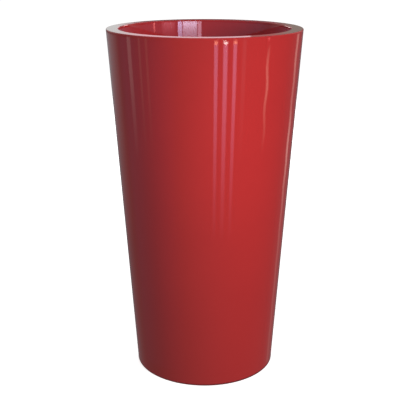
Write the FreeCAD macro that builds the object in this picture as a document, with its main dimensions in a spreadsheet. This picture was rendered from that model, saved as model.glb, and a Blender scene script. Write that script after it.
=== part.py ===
"""Tall tapered round planter with a lift-out liner and a float water gauge.

Millimetres, +Z up. The origin is on the floor, on the planter's axis. The photograph's viewer
stands on the -Y side. Every piece is its own body, and its sizes are bound to the sheet "Sizes".
"""

import FreeCAD
import Part
import Sketcher

import math
import operator
import os
from types import SimpleNamespace

# Driving sizes: alias, value and what it measures. Lengths in millimetres, angles in degrees.
POT_SIZES = (
    ("pot_height", 750, "floor to the top of the rim"),
    ("top_diameter", 410, "outside, at the rim"),
    ("base_diameter", 310, "outside, at the foot"),
    ("foot_gap", 2, "floor to the shell's lower edge, which is a pad's thickness"),
    ("shell_wall", 4, "shell laminate, measured level"),
    ("rim_width", 26, "flat top of the rim, from the outside to the mouth"),
    ("rim_thickness", 5, "laminate of the flat rim"),
    ("rim_round", 2, "radius on the rim's outer and inner edge"),
    ("foot_flange_width", 34, "inward return at the foot that carries the base plate"),
    ("foot_flange_thickness", 4, "laminate of the foot return"),
    ("foot_round", 1.5, "radius on the shell's lower edge"),
    ("recess_depth", 64, "rim top down to the ledge that the liner hangs on"),
    ("sleeve_wall", 3.5, "inner sleeve, measured level"),
    ("sleeve_flange_thickness", 4, "sleeve flange bonded under the rim"),
    ("sleeve_flange_gap", 1.5, "sleeve flange's edge to the shell"),
    ("sleeve_draft", 7.3, "radius that the sleeve loses from the rim's top to the ledge"),
    ("ledge_width", 5, "ledge, inwards from the sleeve"),
    ("ledge_thickness", 5, "ledge, top to bottom"),
    ("base_plate_thickness", 5, "base plate"),
    ("bond_gap", 0.3, "glue line between bonded curved faces"),
    ("seal_leg", 9, "sealant bead in the corner of the base"),
    ("drain_diameter", 24, "drain hole in the base plate"),
    ("drain_boss_width", 14, "raised boss round the drain hole"),
    ("drain_boss_height", 4, "raised boss, above the base plate"),
    ("pad_diameter", 24, "rubber foot pad"),
    ("pad_count", 4, "rubber foot pads"),
    ("bung_clearance", 0.3, "bung's stem in the drain hole, on the radius"),
    ("bung_taper", 1, "bung's stem, radius lost at its tip"),
    ("bung_projection", 1, "bung's tip, below the base plate"),
    ("bung_flange_overlap", 7, "bung's flange, past the drain hole"),
    ("bung_flange_thickness", 4, "bung's flange"),
    ("bung_neck_diameter", 12, "neck under the bung's grip"),
    ("bung_neck_height", 7, "neck under the bung's grip"),
    ("bung_grip_diameter", 24, "bung's grip"),
    ("bung_grip_thickness", 8, "bung's grip"),
)
LINER_SIZES = (
    ("liner_depth", 300, "ledge down to the underside of the liner"),
    ("liner_draft", 20, "radius that the liner loses from top to bottom"),
    ("liner_wall", 2.5, "liner, measured level"),
    ("liner_floor_thickness", 3, "liner floor"),
    ("liner_floor_round", 6, "outer radius at the liner's floor"),
    ("liner_flange_thickness", 3.5, "liner flange"),
    ("liner_flange_clearance", 1, "liner flange's edge to the sleeve"),
    ("liner_lip_round", 1.2, "radius on the flange's edges"),
    ("handle_span", 38, "angle that a lift handle takes up, seen from above"),
    ("handle_leg_angle", 4, "angle that a leg takes up below the flange"),
    ("handle_shoulder_angle", 2.5, "extra angle of a leg above the flange, which stands on it"),
    ("handle_thickness", 4, "lift handle, in and out"),
    ("handle_bar_height", 7, "grip bar, top to bottom"),
    ("handle_corner_round", 5, "radius at the ends of the grip bar"),
    ("finger_gap", 18, "flange to the grip bar at rest"),
    ("handle_travel", 80, "how far a lift handle pulls up"),
    ("handle_clearance", 2, "a leg's outer face to the ledge"),
    ("stop_depth", 3, "hook at the foot of a leg, inwards"),
    ("stop_height", 5, "hook at the foot of a leg"),
    ("stop_clearance", 2, "hook to the liner's wall under the flange"),
    ("slot_clearance", 0.5, "a leg in its slot, all round"),
    ("reservoir_height", 58, "liner floor to the top of the tray"),
    ("tray_thickness", 3, "tray"),
    ("tray_lip_height", 10, "lip round the tray, above it"),
    ("tray_clearance", 0.8, "tray's edge to the liner"),
    ("basket_diameter", 76, "wick basket, outside, under its flange"),
    ("basket_draft", 6, "radius that the wick basket loses from top to bottom"),
    ("basket_wall", 2.5, "wick basket, measured level"),
    ("basket_floor_gap", 1, "wick basket's underside to the liner floor"),
    ("basket_clearance", 0.4, "wick basket in the tray's hole, on the radius"),
    ("basket_flange_width", 8, "flange that hangs the wick basket on the tray"),
    ("basket_flange_thickness", 2.5, "flange that hangs the wick basket on the tray"),
    ("basket_slot_width", 6, "side slots that let water into the wick basket"),
    ("basket_slot_height", 24, "side slots that let water into the wick basket"),
    ("basket_slot_count", 4, "side slots that let water into the wick basket"),
    ("tray_leg_diameter", 12, "tray leg"),
    ("tray_leg_count", 6, "tray legs"),
    ("tray_leg_inset", 26, "tray's edge to a leg's middle"),
    ("tray_hole_diameter", 7, "drain hole in the tray"),
    ("tray_hole_count", 12, "drain holes in each of the tray's two rings"),
    ("tray_hole_margin", 5, "inner ring of drain holes, past the wick basket's flange"),
)
GAUGE_SIZES = (
    ("shaft_diameter", 34, "filler shaft, outside"),
    ("shaft_wall", 2, "filler shaft"),
    ("shaft_wall_gap", 3, "filler shaft to the round of the liner's floor"),
    ("socket_clearance", 0.3, "filler shaft in the tray's socket, on the radius"),
    ("socket_wall", 2.5, "tray's socket round the filler shaft"),
    ("socket_height", 12, "tray's socket, above the tray"),
    ("funnel_flare", 5, "radius that the funnel gains from the guide's seat to its mouth"),
    ("funnel_height", 14, "funnel, from the guide's seat to its mouth"),
    ("seat_width", 3, "flat seat for the guide at the bottom of the funnel"),
    ("notch_width", 8, "water notches at the foot of the shaft"),
    ("notch_height", 12, "water notches at the foot of the shaft"),
    ("guide_thickness", 2.5, "gauge guide"),
    ("guide_ring_width", 2, "guide's ring, inwards from the shaft's bore"),
    ("guide_clearance", 0.3, "guide's ring to the funnel"),
    ("spoke_width", 4, "guide's spokes"),
    ("spoke_count", 3, "guide's spokes"),
    ("rod_diameter", 5, "gauge rod"),
    ("rod_clearance", 0.3, "rod in the guide and in the float, on the radius"),
    ("spigot_wall", 3.6, "guide's spigot round the rod"),
    ("spigot_height", 8, "guide's spigot, which holds the window"),
    ("window_wall", 1.5, "gauge window"),
    ("window_clearance", 0.1, "window over the spigot, on the radius"),
    ("window_headroom", 2, "window's top to the knob at full travel"),
    ("knob_diameter", 9, "red knob on the rod"),
    ("knob_height", 9, "red knob on the rod"),
    ("knob_rest_gap", 0.3, "knob to the spigot with the gauge empty"),
    ("float_travel", 40, "float, empty to full"),
    ("float_diameter", 24, "float"),
    ("float_height", 34, "float"),
    ("float_round", 4, "radius on the float's edges"),
    ("float_socket_depth", 20, "rod's socket in the float"),
    ("float_rest_gap", 6, "float to the liner floor with the gauge empty"),
)
FULL_TURN = 360
QUARTER_TURN = 90
CUT_MARGIN = 1.0  # how far a cutting profile reaches past the face that it opens
LINE_START, LINE_END, CENTRE = range(1, 4)  # a sketch's numbers for the points of a line or a circle


class Size:
    """A number that also carries the sheet expression it comes from."""

    def __init__(self, text, value):
        self.text = text
        self.value = value

    def _join(self, sign, action, other):
        other = as_size(other)
        return Size(f"({self.text} {sign} {other.text})", action(self.value, other.value))

    def __add__(self, other):
        return self._join("+", operator.add, other)

    def __sub__(self, other):
        return self._join("-", operator.sub, other)

    def __mul__(self, other):
        return self._join("*", operator.mul, other)

    def __truediv__(self, other):
        return self._join("/", operator.truediv, other)


def as_size(number):
    return number if isinstance(number, Size) else Size(repr(number), number)


def make_sheet(doc, rows):
    """Writes the driving sizes into the sheet and returns them by name."""
    sheet = doc.addObject("Spreadsheet::Sheet", "Sizes")
    for row, (alias, value, meaning) in enumerate(rows, start=1):
        sheet.set(f"A{row}", meaning)
        sheet.set(f"B{row}", str(value))
        sheet.setAlias(f"B{row}", alias)
    doc.recompute()
    return SimpleNamespace(**{a: Size(f"Sizes.{a}", float(sheet.get(a))) for a, _, _ in rows})


doc = FreeCAD.newDocument("planter")
d = make_sheet(doc, POT_SIZES + LINER_SIZES + GAUGE_SIZES)

# Levels and radii that several pieces share, worked out once from the driving sizes.
top_radius = d.top_diameter / 2
base_radius = d.base_diameter / 2
taper = (top_radius - base_radius) / (d.pot_height - d.foot_gap)  # radius gained per millimetre of height
mouth_radius = top_radius - d.rim_width
rim_underside = d.pot_height - d.rim_thickness
foot_flange_top = d.foot_gap + d.foot_flange_thickness
base_plate_top = foot_flange_top + d.base_plate_thickness
ledge_top = d.pot_height - d.recess_depth
ledge_bottom = ledge_top - d.ledge_thickness


def shell_inside(height):
    """Radius of the shell's inner face at a height above the floor."""
    return base_radius - d.shell_wall + taper * (height - d.foot_gap)


def sleeve_inside(height):
    """Radius of the sleeve's inner face, which draws in from the mouth down to the ledge."""
    return mouth_radius - (d.pot_height - height) * (d.sleeve_draft / d.recess_depth)


ledge_radius = sleeve_inside(ledge_top) - d.ledge_width
foot_opening_radius = base_radius - d.shell_wall - d.foot_flange_width
drain_radius = d.drain_diameter / 2
bung_seat = base_plate_top + d.drain_boss_height

# The lift handles' legs run between the ledge and the liner, so they set the liner's radius.
leg_outer = ledge_radius - d.handle_clearance
leg_inner = leg_outer - d.handle_thickness
liner_top_radius = leg_inner - d.stop_depth - d.stop_clearance
liner_base_radius = liner_top_radius - d.liner_draft
liner_underside = ledge_top - d.liner_depth
liner_floor_top = liner_underside + d.liner_floor_thickness
liner_flange_top = ledge_top + d.liner_flange_thickness
leg_drop = d.liner_flange_thickness + d.handle_travel + d.stop_height  # flange top to a leg's foot


def liner_inside(rise):
    """Radius of the liner's inner face at a height above the liner's underside."""
    return liner_base_radius - d.liner_wall + rise * (d.liner_draft / d.liner_depth)


shaft_radius = d.shaft_diameter / 2
shaft_bore = shaft_radius - d.shaft_wall
shaft_offset = (
    liner_inside(d.liner_floor_thickness) - d.liner_floor_round - d.shaft_wall_gap - shaft_radius
)
shaft_height = d.liner_depth - d.liner_floor_thickness + d.liner_flange_thickness
guide_seat = shaft_height - d.funnel_height  # above the liner floor
rod_radius = d.rod_diameter / 2
spigot_radius = rod_radius + d.rod_clearance + d.spigot_wall
window_bore = spigot_radius + d.window_clearance
window_radius = window_bore + d.window_wall
spigot_top = guide_seat + d.guide_thickness + d.spigot_height
basket_radius = d.basket_diameter / 2


def bind(item, path, size):
    item.setExpression(path, as_size(size).text)


def origin_feature(body, role):
    return next(f for f in body.Origin.OriginFeatures if f.Role == role)


def new_body(label, x=0, y=0, z=0, turn=0):
    """A named piece, whose own origin stands at x, y, z, turned about the upright axis."""
    body = doc.addObject("PartDesign::Body", label)
    body.Label = label
    body.Placement.Rotation = FreeCAD.Rotation(FreeCAD.Vector(0, 0, 1), turn)
    for axis, place in (("x", x), ("y", y), ("z", z)):
        bind(body, f"Placement.Base.{axis}", place)
    return body


def new_sketch(body, name, role, lift=0, swing=0):
    """A sketch on an origin plane, lifted off it, or swung about the piece's upright axis."""
    sketch = body.newObject("Sketcher::SketchObject", name)
    sketch.AttachmentSupport = [(origin_feature(body, role), "")]
    sketch.MapMode = "FlatFace"
    upright = FreeCAD.Vector(0, 0, 1) if role == "XY_Plane" else FreeCAD.Vector(0, 1, 0)
    sketch.AttachmentOffset = FreeCAD.Placement(
        FreeCAD.Vector(0, 0, as_size(lift).value),
        FreeCAD.Rotation(upright, as_size(swing).value),
    )
    bind(sketch, "AttachmentOffset.Base.z", lift)
    if as_size(swing).value:
        bind(sketch, "AttachmentOffset.Rotation.Angle", swing)
    return sketch


def pin_point(sketch, geometry, end, x, y):
    """Holds one end of a line, or a circle's centre, at x, y of the sketch."""
    for kind, axis, size in (("DistanceX", -2, as_size(x)), ("DistanceY", -1, as_size(y))):
        if size.value == 0:
            sketch.addConstraint(Sketcher.Constraint("PointOnObject", geometry, end, axis))
            continue
        row = sketch.addConstraint(Sketcher.Constraint(kind, -1, 1, geometry, end, size.value))
        bind(sketch, f"Constraints[{row}]", size)


def outline(sketch, points):
    """A closed outline of straight lines through the points, each one pinned to its sizes."""
    places = [FreeCAD.Vector(as_size(x).value, as_size(y).value, 0) for x, y in points]
    for here, there in zip(places, places[1:] + places[:1]):
        sketch.addGeometry(Part.LineSegment(here, there))
    for line, (x, y) in enumerate(points):
        sketch.addConstraint(
            Sketcher.Constraint("Coincident", line, LINE_START, (line - 1) % len(points), LINE_END)
        )
        pin_point(sketch, line, LINE_START, x, y)
    return sketch


def circle(sketch, x, y, radius):
    place = FreeCAD.Vector(as_size(x).value, as_size(y).value, 0)
    upward = FreeCAD.Vector(0, 0, 1)
    geometry = sketch.addGeometry(Part.Circle(place, upward, as_size(radius).value))
    pin_point(sketch, geometry, CENTRE, x, y)
    row = sketch.addConstraint(Sketcher.Constraint("Radius", geometry, as_size(radius).value))
    bind(sketch, f"Constraints[{row}]", radius)
    return sketch


def turned(body, name, points, kind="Revolution", angle=FULL_TURN, swing=0):
    """Turns an outline of (radius, height) about the upright axis, or cuts it with kind Groove."""
    sketch = outline(new_sketch(body, f"{name}_outline", "XZ_Plane", swing=swing), points)
    feature = body.newObject(f"PartDesign::{kind}", name)
    feature.Profile = sketch
    feature.ReferenceAxis = (sketch, ["V_Axis"])
    feature.Midplane = True
    bind(feature, "Angle", angle)
    doc.recompute()
    return feature


def extruded(body, name, sketch, length):
    feature = body.newObject("PartDesign::Pad", name)
    feature.Profile = sketch
    bind(feature, "Length", length)
    doc.recompute()
    return feature


def pierced(body, name, sketch):
    """Cuts a sketch right through the piece, both ways."""
    feature = body.newObject("PartDesign::Pocket", name)
    feature.Profile = sketch
    feature.SideType = "Symmetric"
    feature.Type = "ThroughAll"
    doc.recompute()
    return feature


def repeated(body, name, features, count, angle=FULL_TURN):
    """Repeats features about the upright axis."""
    pattern = body.newObject("PartDesign::PolarPattern", name)
    pattern.Originals = features
    pattern.Axis = (origin_feature(body, "Z_Axis"), [""])
    pattern.Angle = angle
    bind(pattern, "Occurrences", count)
    body.Tip = pattern
    doc.recompute()
    return pattern


def rounded(body, name, radius, is_wanted):
    """Fillets the edges of the piece so far that is_wanted picks out."""
    base = body.Tip
    edges = [f"Edge{i}" for i, e in enumerate(base.Shape.Edges, start=1) if is_wanted(e)]
    feature = body.newObject("PartDesign::Fillet", name)
    feature.Base = (base, edges)
    bind(feature, "Radius", radius)
    doc.recompute()
    return feature


def ring_edge(*rings):
    """Picks round edges about the piece's axis by (radius, height)."""

    def is_wanted(edge):
        if not isinstance(edge.Curve, Part.Circle):
            return False
        found = (edge.Curve.Radius, edge.Curve.Center.z)
        return any(math.dist(found, (as_size(r).value, as_size(z).value)) < 1e-4 for r, z in rings)

    return is_wanted


def make_outer_shell():
    """Tapered wall, flat rim and foot return, moulded in one and lacquered."""
    body = new_body("outer_shell")
    turned(body, "wall", [
        (base_radius, d.foot_gap),
        (top_radius, d.pot_height),
        (mouth_radius, d.pot_height),
        (sleeve_inside(rim_underside), rim_underside),
        (shell_inside(rim_underside), rim_underside),
        (shell_inside(foot_flange_top), foot_flange_top),
        (foot_opening_radius, foot_flange_top),
        (foot_opening_radius, d.foot_gap),
    ])
    rim_edges = ring_edge((top_radius, d.pot_height), (mouth_radius, d.pot_height))
    rounded(body, "rim_edges", d.rim_round, rim_edges)
    rounded(body, "foot_edge", d.foot_round, ring_edge((base_radius, d.foot_gap)))
    return body


def make_inner_sleeve():
    """Lacquered wall inside the mouth, bonded under the rim, with the ledge that the liner hangs on."""
    body = new_body("inner_sleeve")
    flange_underside = rim_underside - d.sleeve_flange_thickness
    flange_radius = shell_inside(flange_underside) - d.sleeve_flange_gap
    turned(body, "sleeve", [
        (sleeve_inside(rim_underside), rim_underside),
        (flange_radius, rim_underside),
        (flange_radius, flange_underside),
        (sleeve_inside(flange_underside) + d.sleeve_wall, flange_underside),
        (sleeve_inside(ledge_bottom) + d.sleeve_wall, ledge_bottom),
        (ledge_radius, ledge_bottom),
        (ledge_radius, ledge_top),
        (sleeve_inside(ledge_top), ledge_top),
    ])
    return body


def make_base_plate():
    """Round floor, bonded on the foot return, with a boss round the drain hole."""
    body = new_body("base_plate", z=foot_flange_top)
    boss_radius = drain_radius + d.drain_boss_width
    boss_top = d.base_plate_thickness + d.drain_boss_height
    turned(body, "plate", [
        (drain_radius, 0),
        (shell_inside(foot_flange_top) - d.bond_gap, 0),
        (shell_inside(base_plate_top) - d.bond_gap, d.base_plate_thickness),
        (boss_radius, d.base_plate_thickness),
        (boss_radius, boss_top),
        (drain_radius, boss_top),
    ])
    return body


def make_base_sealant():
    """Bead that seals the corner between the base plate and the shell."""
    body = new_body("base_sealant", z=base_plate_top)
    corner_radius = shell_inside(base_plate_top) - d.bond_gap
    turned(body, "bead", [
        (corner_radius - d.seal_leg, 0),
        (corner_radius, 0),
        (shell_inside(base_plate_top + d.seal_leg) - d.bond_gap, d.seal_leg),
    ])
    return body


def make_foot_pads():
    """Rubber pads stuck under the foot return, which lift the lacquered edge off the floor."""
    body = new_body("foot_pads")
    body.AllowCompound = True
    pad_circle = foot_opening_radius + d.foot_flange_width / 2
    sketch = circle(new_sketch(body, "pad_outline", "XY_Plane"), pad_circle, 0, d.pad_diameter / 2)
    repeated(body, "pads", [extruded(body, "pad", sketch, d.foot_gap)], d.pad_count)
    return body


def make_drain_bung():
    """Rubber bung in the drain hole, pulled out from inside by its grip."""
    stem = bung_seat - foot_flange_top + d.bung_projection
    body = new_body("drain_bung", z=bung_seat - stem)
    stem_radius = drain_radius - d.bung_clearance
    flange_radius = drain_radius + d.bung_flange_overlap
    flange_top = stem + d.bung_flange_thickness
    neck_top = flange_top + d.bung_neck_height
    grip_top = neck_top + d.bung_grip_thickness
    neck_radius = d.bung_neck_diameter / 2
    grip_radius = d.bung_grip_diameter / 2
    turned(body, "bung", [
        (0, 0),
        (stem_radius - d.bung_taper, 0),
        (stem_radius, stem),
        (flange_radius, stem),
        (flange_radius, flange_top),
        (neck_radius, flange_top),
        (neck_radius, neck_top),
        (grip_radius, neck_top),
        (grip_radius, grip_top),
        (0, grip_top),
    ])
    grip_edges = ring_edge((grip_radius, neck_top), (grip_radius, grip_top))
    rounded(body, "grip_edges", d.bung_grip_thickness / 4, grip_edges)
    return body


def cut_handle_slots(body):
    """Slots in the liner's flange for the handles' legs: a pair on each side."""
    slot = [
        (leg_inner - d.slot_clearance, d.liner_depth - CUT_MARGIN),
        (leg_outer + d.slot_clearance, d.liner_depth - CUT_MARGIN),
        (leg_outer + d.slot_clearance, d.liner_depth + d.liner_flange_thickness + CUT_MARGIN),
        (leg_inner - d.slot_clearance, d.liner_depth + d.liner_flange_thickness + CUT_MARGIN),
    ]
    side_angle = d.slot_clearance / leg_inner * math.degrees(1)
    leg_middle = (d.handle_span - d.handle_leg_angle) / 2
    slots = [
        turned(body, f"slot_{name}", slot, "Groove", d.handle_leg_angle + side_angle * 2, leg_middle * way)
        for name, way in (("near", 1), ("far", -1))
    ]
    repeated(body, "slots_both_sides", slots, 2)


def make_liner_pot():
    """Lift-out plant pot with a flange that hangs on the sleeve's ledge."""
    body = new_body("liner_pot", z=liner_underside)
    flange_radius = sleeve_inside(ledge_top) - d.liner_flange_clearance
    flange_top = d.liner_depth + d.liner_flange_thickness
    bore = liner_inside(flange_top)
    turned(body, "pot", [
        (0, 0),
        (liner_base_radius, 0),
        (liner_top_radius, d.liner_depth),
        (flange_radius, d.liner_depth),
        (flange_radius, flange_top),
        (bore, flange_top),
        (liner_inside(d.liner_floor_thickness), d.liner_floor_thickness),
        (0, d.liner_floor_thickness),
    ])
    inner_corner = ring_edge((liner_inside(d.liner_floor_thickness), d.liner_floor_thickness))
    rounded(body, "floor_round_outside", d.liner_floor_round, ring_edge((liner_base_radius, 0)))
    rounded(body, "floor_round_inside", d.liner_floor_round - d.liner_wall, inner_corner)
    lip_edges = ring_edge((flange_radius, flange_top), (bore, flange_top))
    rounded(body, "flange_edges", d.liner_lip_round, lip_edges)
    cut_handle_slots(body)
    return body


def make_lift_handle(label, turn):
    """Strap handle: two legs slide in the flange's slots, shoulders stand on it, hooks stop the pull."""
    body = new_body(label, z=liner_flange_top - leg_drop, turn=turn)
    hook_inner = leg_inner - d.stop_depth
    bar_underside = leg_drop + d.finger_gap
    bar_top = bar_underside + d.handle_bar_height
    turned(body, "strap", [
        (hook_inner, 0),
        (leg_outer, 0),
        (leg_outer, bar_top),
        (leg_inner, bar_top),
        (leg_inner, d.stop_height),
        (hook_inner, d.stop_height),
    ], angle=d.handle_span)

    def is_bar_end(edge):
        ends = [v.Point for v in edge.Vertexes]
        return len(ends) == 2 and all(abs(p.z - bar_top.value) < 1e-4 for p in ends) and isinstance(
            edge.Curve, Part.Line
        )

    rounded(body, "bar_ends", d.handle_corner_round, is_bar_end)
    leg_angle = d.handle_leg_angle
    shoulder_angle = leg_angle + d.handle_shoulder_angle
    for name, low, high, leg in (
        ("between_legs", as_size(-CUT_MARGIN), leg_drop, leg_angle),
        ("finger_gap", leg_drop, bar_underside, shoulder_angle),
    ):
        turned(body, name, [
            (hook_inner - CUT_MARGIN, low),
            (leg_outer + CUT_MARGIN, low),
            (leg_outer + CUT_MARGIN, high),
            (hook_inner - CUT_MARGIN, high),
        ], "Groove", d.handle_span - leg * 2)
    return body


def make_reservoir_tray():
    """Perforated false floor on legs, with a hole for the wick basket and a socket for the shaft."""
    body = new_body("reservoir_tray", z=liner_floor_top)
    basket_hole = basket_radius + d.basket_clearance
    tray_underside = d.reservoir_height - d.tray_thickness
    lip_top = d.reservoir_height + d.tray_lip_height

    def edge_at(rise):
        return liner_inside(d.liner_floor_thickness + rise) - d.tray_clearance

    turned(body, "tray", [
        (basket_hole, tray_underside),
        (edge_at(tray_underside), tray_underside),
        (edge_at(lip_top), lip_top),
        (edge_at(lip_top) - d.tray_thickness, lip_top),
        (edge_at(d.reservoir_height) - d.tray_thickness, d.reservoir_height),
        (basket_hole, d.reservoir_height),
    ])
    leg_circle = edge_at(tray_underside) - d.tray_leg_inset
    leg = circle(new_sketch(body, "leg_outline", "XY_Plane"), leg_circle, 0, d.tray_leg_diameter / 2)
    first_leg = extruded(body, "leg", leg, tray_underside + d.tray_thickness / 2)
    repeated(body, "legs", [first_leg], d.tray_leg_count)

    socket_bore = shaft_radius + d.socket_clearance
    lifted = new_sketch(body, "socket_outline", "XY_Plane", lift=tray_underside)
    socket = circle(lifted, 0, shaft_offset * -1, socket_bore + d.socket_wall)
    extruded(body, "socket", socket, d.tray_thickness + d.socket_height)
    bore = circle(new_sketch(body, "bore_outline", "XY_Plane"), 0, shaft_offset * -1, socket_bore)
    pierced(body, "socket_bore", bore)

    hole_radius = d.tray_hole_diameter / 2
    half_step = as_size(FULL_TURN / 2) / d.tray_hole_count
    rings = (
        ("inner", basket_radius + d.basket_flange_width + d.tray_hole_margin + hole_radius, 0),
        ("outer", leg_circle - d.tray_leg_diameter / 2, half_step),
    )
    for name, ring_radius, swing in rings:
        at_ring = new_sketch(body, f"{name}_hole_outline", "XY_Plane", swing=swing)
        hole = pierced(body, f"{name}_hole", circle(at_ring, ring_radius, 0, hole_radius))
        repeated(body, f"{name}_holes", [hole], d.tray_hole_count)
    return body


def make_wick_basket():
    """Slotted cup that hangs in the tray's hole and holds growing mix down in the water."""
    body = new_body("wick_basket", z=liner_floor_top)
    foot_radius = basket_radius - d.basket_draft
    flange_radius = basket_radius + d.basket_flange_width
    flange_top = d.reservoir_height + d.basket_flange_thickness
    floor_top = d.basket_floor_gap + d.basket_wall
    turned(body, "basket", [
        (0, d.basket_floor_gap),
        (foot_radius, d.basket_floor_gap),
        (basket_radius, d.reservoir_height),
        (flange_radius, d.reservoir_height),
        (flange_radius, flange_top),
        (basket_radius - d.basket_wall, flange_top),
        (foot_radius - d.basket_wall, floor_top),
        (0, floor_top),
    ])
    slot = outline(new_sketch(body, "slot_outline", "YZ_Plane"), [
        (d.basket_slot_width / -2, floor_top),
        (d.basket_slot_width / 2, floor_top),
        (d.basket_slot_width / 2, floor_top + d.basket_slot_height),
        (d.basket_slot_width / -2, floor_top + d.basket_slot_height),
    ])
    cut = body.newObject("PartDesign::Pocket", "slot")
    cut.Profile = slot
    cut.Reversed = True
    bind(cut, "Length", basket_radius)
    doc.recompute()
    repeated(body, "slots", [cut], d.basket_slot_count)
    return body


def make_water_shaft():
    """Filler shaft that stands on the liner floor, with water notches at its foot and a funnel on top."""
    body = new_body("water_shaft", y=shaft_offset * -1, z=liner_floor_top)
    seat_radius = shaft_bore + d.seat_width
    funnel_radius = seat_radius + d.shaft_wall + d.funnel_flare
    turned(body, "shaft", [
        (shaft_bore, 0),
        (shaft_radius, 0),
        (shaft_radius, guide_seat - d.seat_width - d.shaft_wall),
        (seat_radius + d.shaft_wall, guide_seat),
        (funnel_radius, shaft_height),
        (funnel_radius - d.shaft_wall, shaft_height),
        (seat_radius, guide_seat),
        (shaft_bore, guide_seat),
    ])
    notch = outline(new_sketch(body, "notch_outline", "XZ_Plane"), [
        (d.notch_width / -2, as_size(-CUT_MARGIN)),
        (d.notch_width / 2, as_size(-CUT_MARGIN)),
        (d.notch_width / 2, d.notch_height),
        (d.notch_width / -2, d.notch_height),
    ])
    repeated(body, "notches", [pierced(body, "notch", notch)], 2, angle=QUARTER_TURN)
    return body


def make_gauge_guide():
    """Spoked guide in the funnel: the rod slides in its hub and water runs past its spokes."""
    foot = liner_floor_top + guide_seat
    body = new_body("gauge_guide", y=shaft_offset * -1, z=foot, turn=QUARTER_TURN)
    rod_hole = rod_radius + d.rod_clearance
    turned(body, "hub", [
        (rod_hole, 0),
        (window_radius, 0),
        (window_radius, d.guide_thickness),
        (spigot_radius, d.guide_thickness),
        (spigot_radius, d.guide_thickness + d.spigot_height),
        (rod_hole, d.guide_thickness + d.spigot_height),
    ])
    ring_inner = shaft_bore - d.guide_ring_width
    ring_outer = shaft_bore + d.seat_width - d.guide_clearance
    half_spoke = d.spoke_width / 2
    spoke = outline(new_sketch(body, "spoke_outline", "XY_Plane"), [
        (window_radius - d.window_wall, half_spoke * -1),
        (ring_inner + d.guide_ring_width / 2, half_spoke * -1),
        (ring_inner + d.guide_ring_width / 2, half_spoke),
        (window_radius - d.window_wall, half_spoke),
    ])
    repeated(body, "spokes", [extruded(body, "spoke", spoke, d.guide_thickness)], d.spoke_count)
    turned(body, "ring", [
        (ring_inner, 0),
        (ring_outer, 0),
        (ring_outer, d.guide_thickness),
        (ring_inner, d.guide_thickness),
    ])
    return body


def make_gauge_window():
    """Clear cap over the spigot, in which the red knob is seen to rise."""
    foot = guide_seat + d.guide_thickness
    body = new_body("gauge_window", y=shaft_offset * -1, z=liner_floor_top + foot)
    inside_top = (
        d.spigot_height + d.knob_rest_gap + d.knob_height + d.float_travel + d.window_headroom
    )
    outside_top = inside_top + d.window_wall
    turned(body, "window", [
        (window_bore, 0),
        (window_radius, 0),
        (window_radius, outside_top),
        (0, outside_top),
        (0, inside_top),
        (window_bore, inside_top),
    ])
    rounded(body, "window_dome", d.window_wall * 2, ring_edge((window_radius, outside_top)))
    return body


def make_gauge_rod():
    """Rod that stands in the float, with a knob that shows the water level in the window."""
    foot = d.float_rest_gap + d.float_height - d.float_socket_depth
    body = new_body("gauge_rod", y=shaft_offset * -1, z=liner_floor_top + foot)
    knob_low = spigot_top + d.knob_rest_gap - foot
    knob_high = knob_low + d.knob_height
    knob_radius = d.knob_diameter / 2
    turned(body, "rod", [
        (0, 0),
        (rod_radius, 0),
        (rod_radius, knob_low),
        (knob_radius, knob_low),
        (knob_radius, knob_high),
        (0, knob_high),
    ])
    rounded(body, "knob_top", knob_radius / 2, ring_edge((knob_radius, knob_high)))
    return body


def make_level_float():
    """Foam float that carries the rod up as the reservoir fills."""
    body = new_body("level_float", y=shaft_offset * -1, z=liner_floor_top + d.float_rest_gap)
    float_radius = d.float_diameter / 2
    socket_radius = rod_radius + d.rod_clearance
    socket_floor = d.float_height - d.float_socket_depth
    turned(body, "float", [
        (0, 0),
        (float_radius, 0),
        (float_radius, d.float_height),
        (socket_radius, d.float_height),
        (socket_radius, socket_floor),
        (0, socket_floor),
    ])
    float_edges = ring_edge((float_radius, 0), (float_radius, d.float_height))
    rounded(body, "float_edges", d.float_round, float_edges)
    return body


def check(bodies):
    """Stops before anything is written if a feature failed or a piece isn't a sound solid."""
    doc.recompute()
    failed = [o.Name for o in doc.Objects if {"Invalid", "Error"} & set(o.State)]
    unsound = [b.Label for b in bodies if b.Shape.isNull() or not b.Shape.isValid() or not b.Shape.Solids]
    if failed or unsound:
        raise RuntimeError(f"failed features {failed}, unsound pieces {unsound}")


def main():
    bodies = [
        make_outer_shell(),
        make_inner_sleeve(),
        make_base_plate(),
        make_base_sealant(),
        make_foot_pads(),
        make_drain_bung(),
        make_liner_pot(),
        make_lift_handle("lift_handle_right", turn=0),
        make_lift_handle("lift_handle_left", turn=180),
        make_reservoir_tray(),
        make_wick_basket(),
        make_water_shaft(),
        make_gauge_guide(),
        make_gauge_window(),
        make_gauge_rod(),
        make_level_float(),
    ]
    check(bodies)
    os.makedirs("parts", exist_ok=True)
    for body in bodies:
        body.Shape.exportStep(f"parts/{body.Label}.step")
        box = body.Shape.BoundBox
        print(
            f"{body.Label}: {len(body.Shape.Solids)} solid(s), {body.Shape.Volume / 1000:.1f} cm3, "
            f"z {box.ZMin:.1f} to {box.ZMax:.1f}"
        )


main()
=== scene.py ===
# %% [markdown]
# # A tall lacquered floor planter
# The real object is a tapered pot in gloss red lacquer. A liner with a water reservoir and a level
# gauge hangs inside its mouth. The solids of every piece were made in CAD, and this lesson dresses
# them. They are loaded first, as a frame that nothing below moves. Each new piece is a surface worked
# out with numpy in that frame, in metres, so it lands where its solid is.

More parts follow.
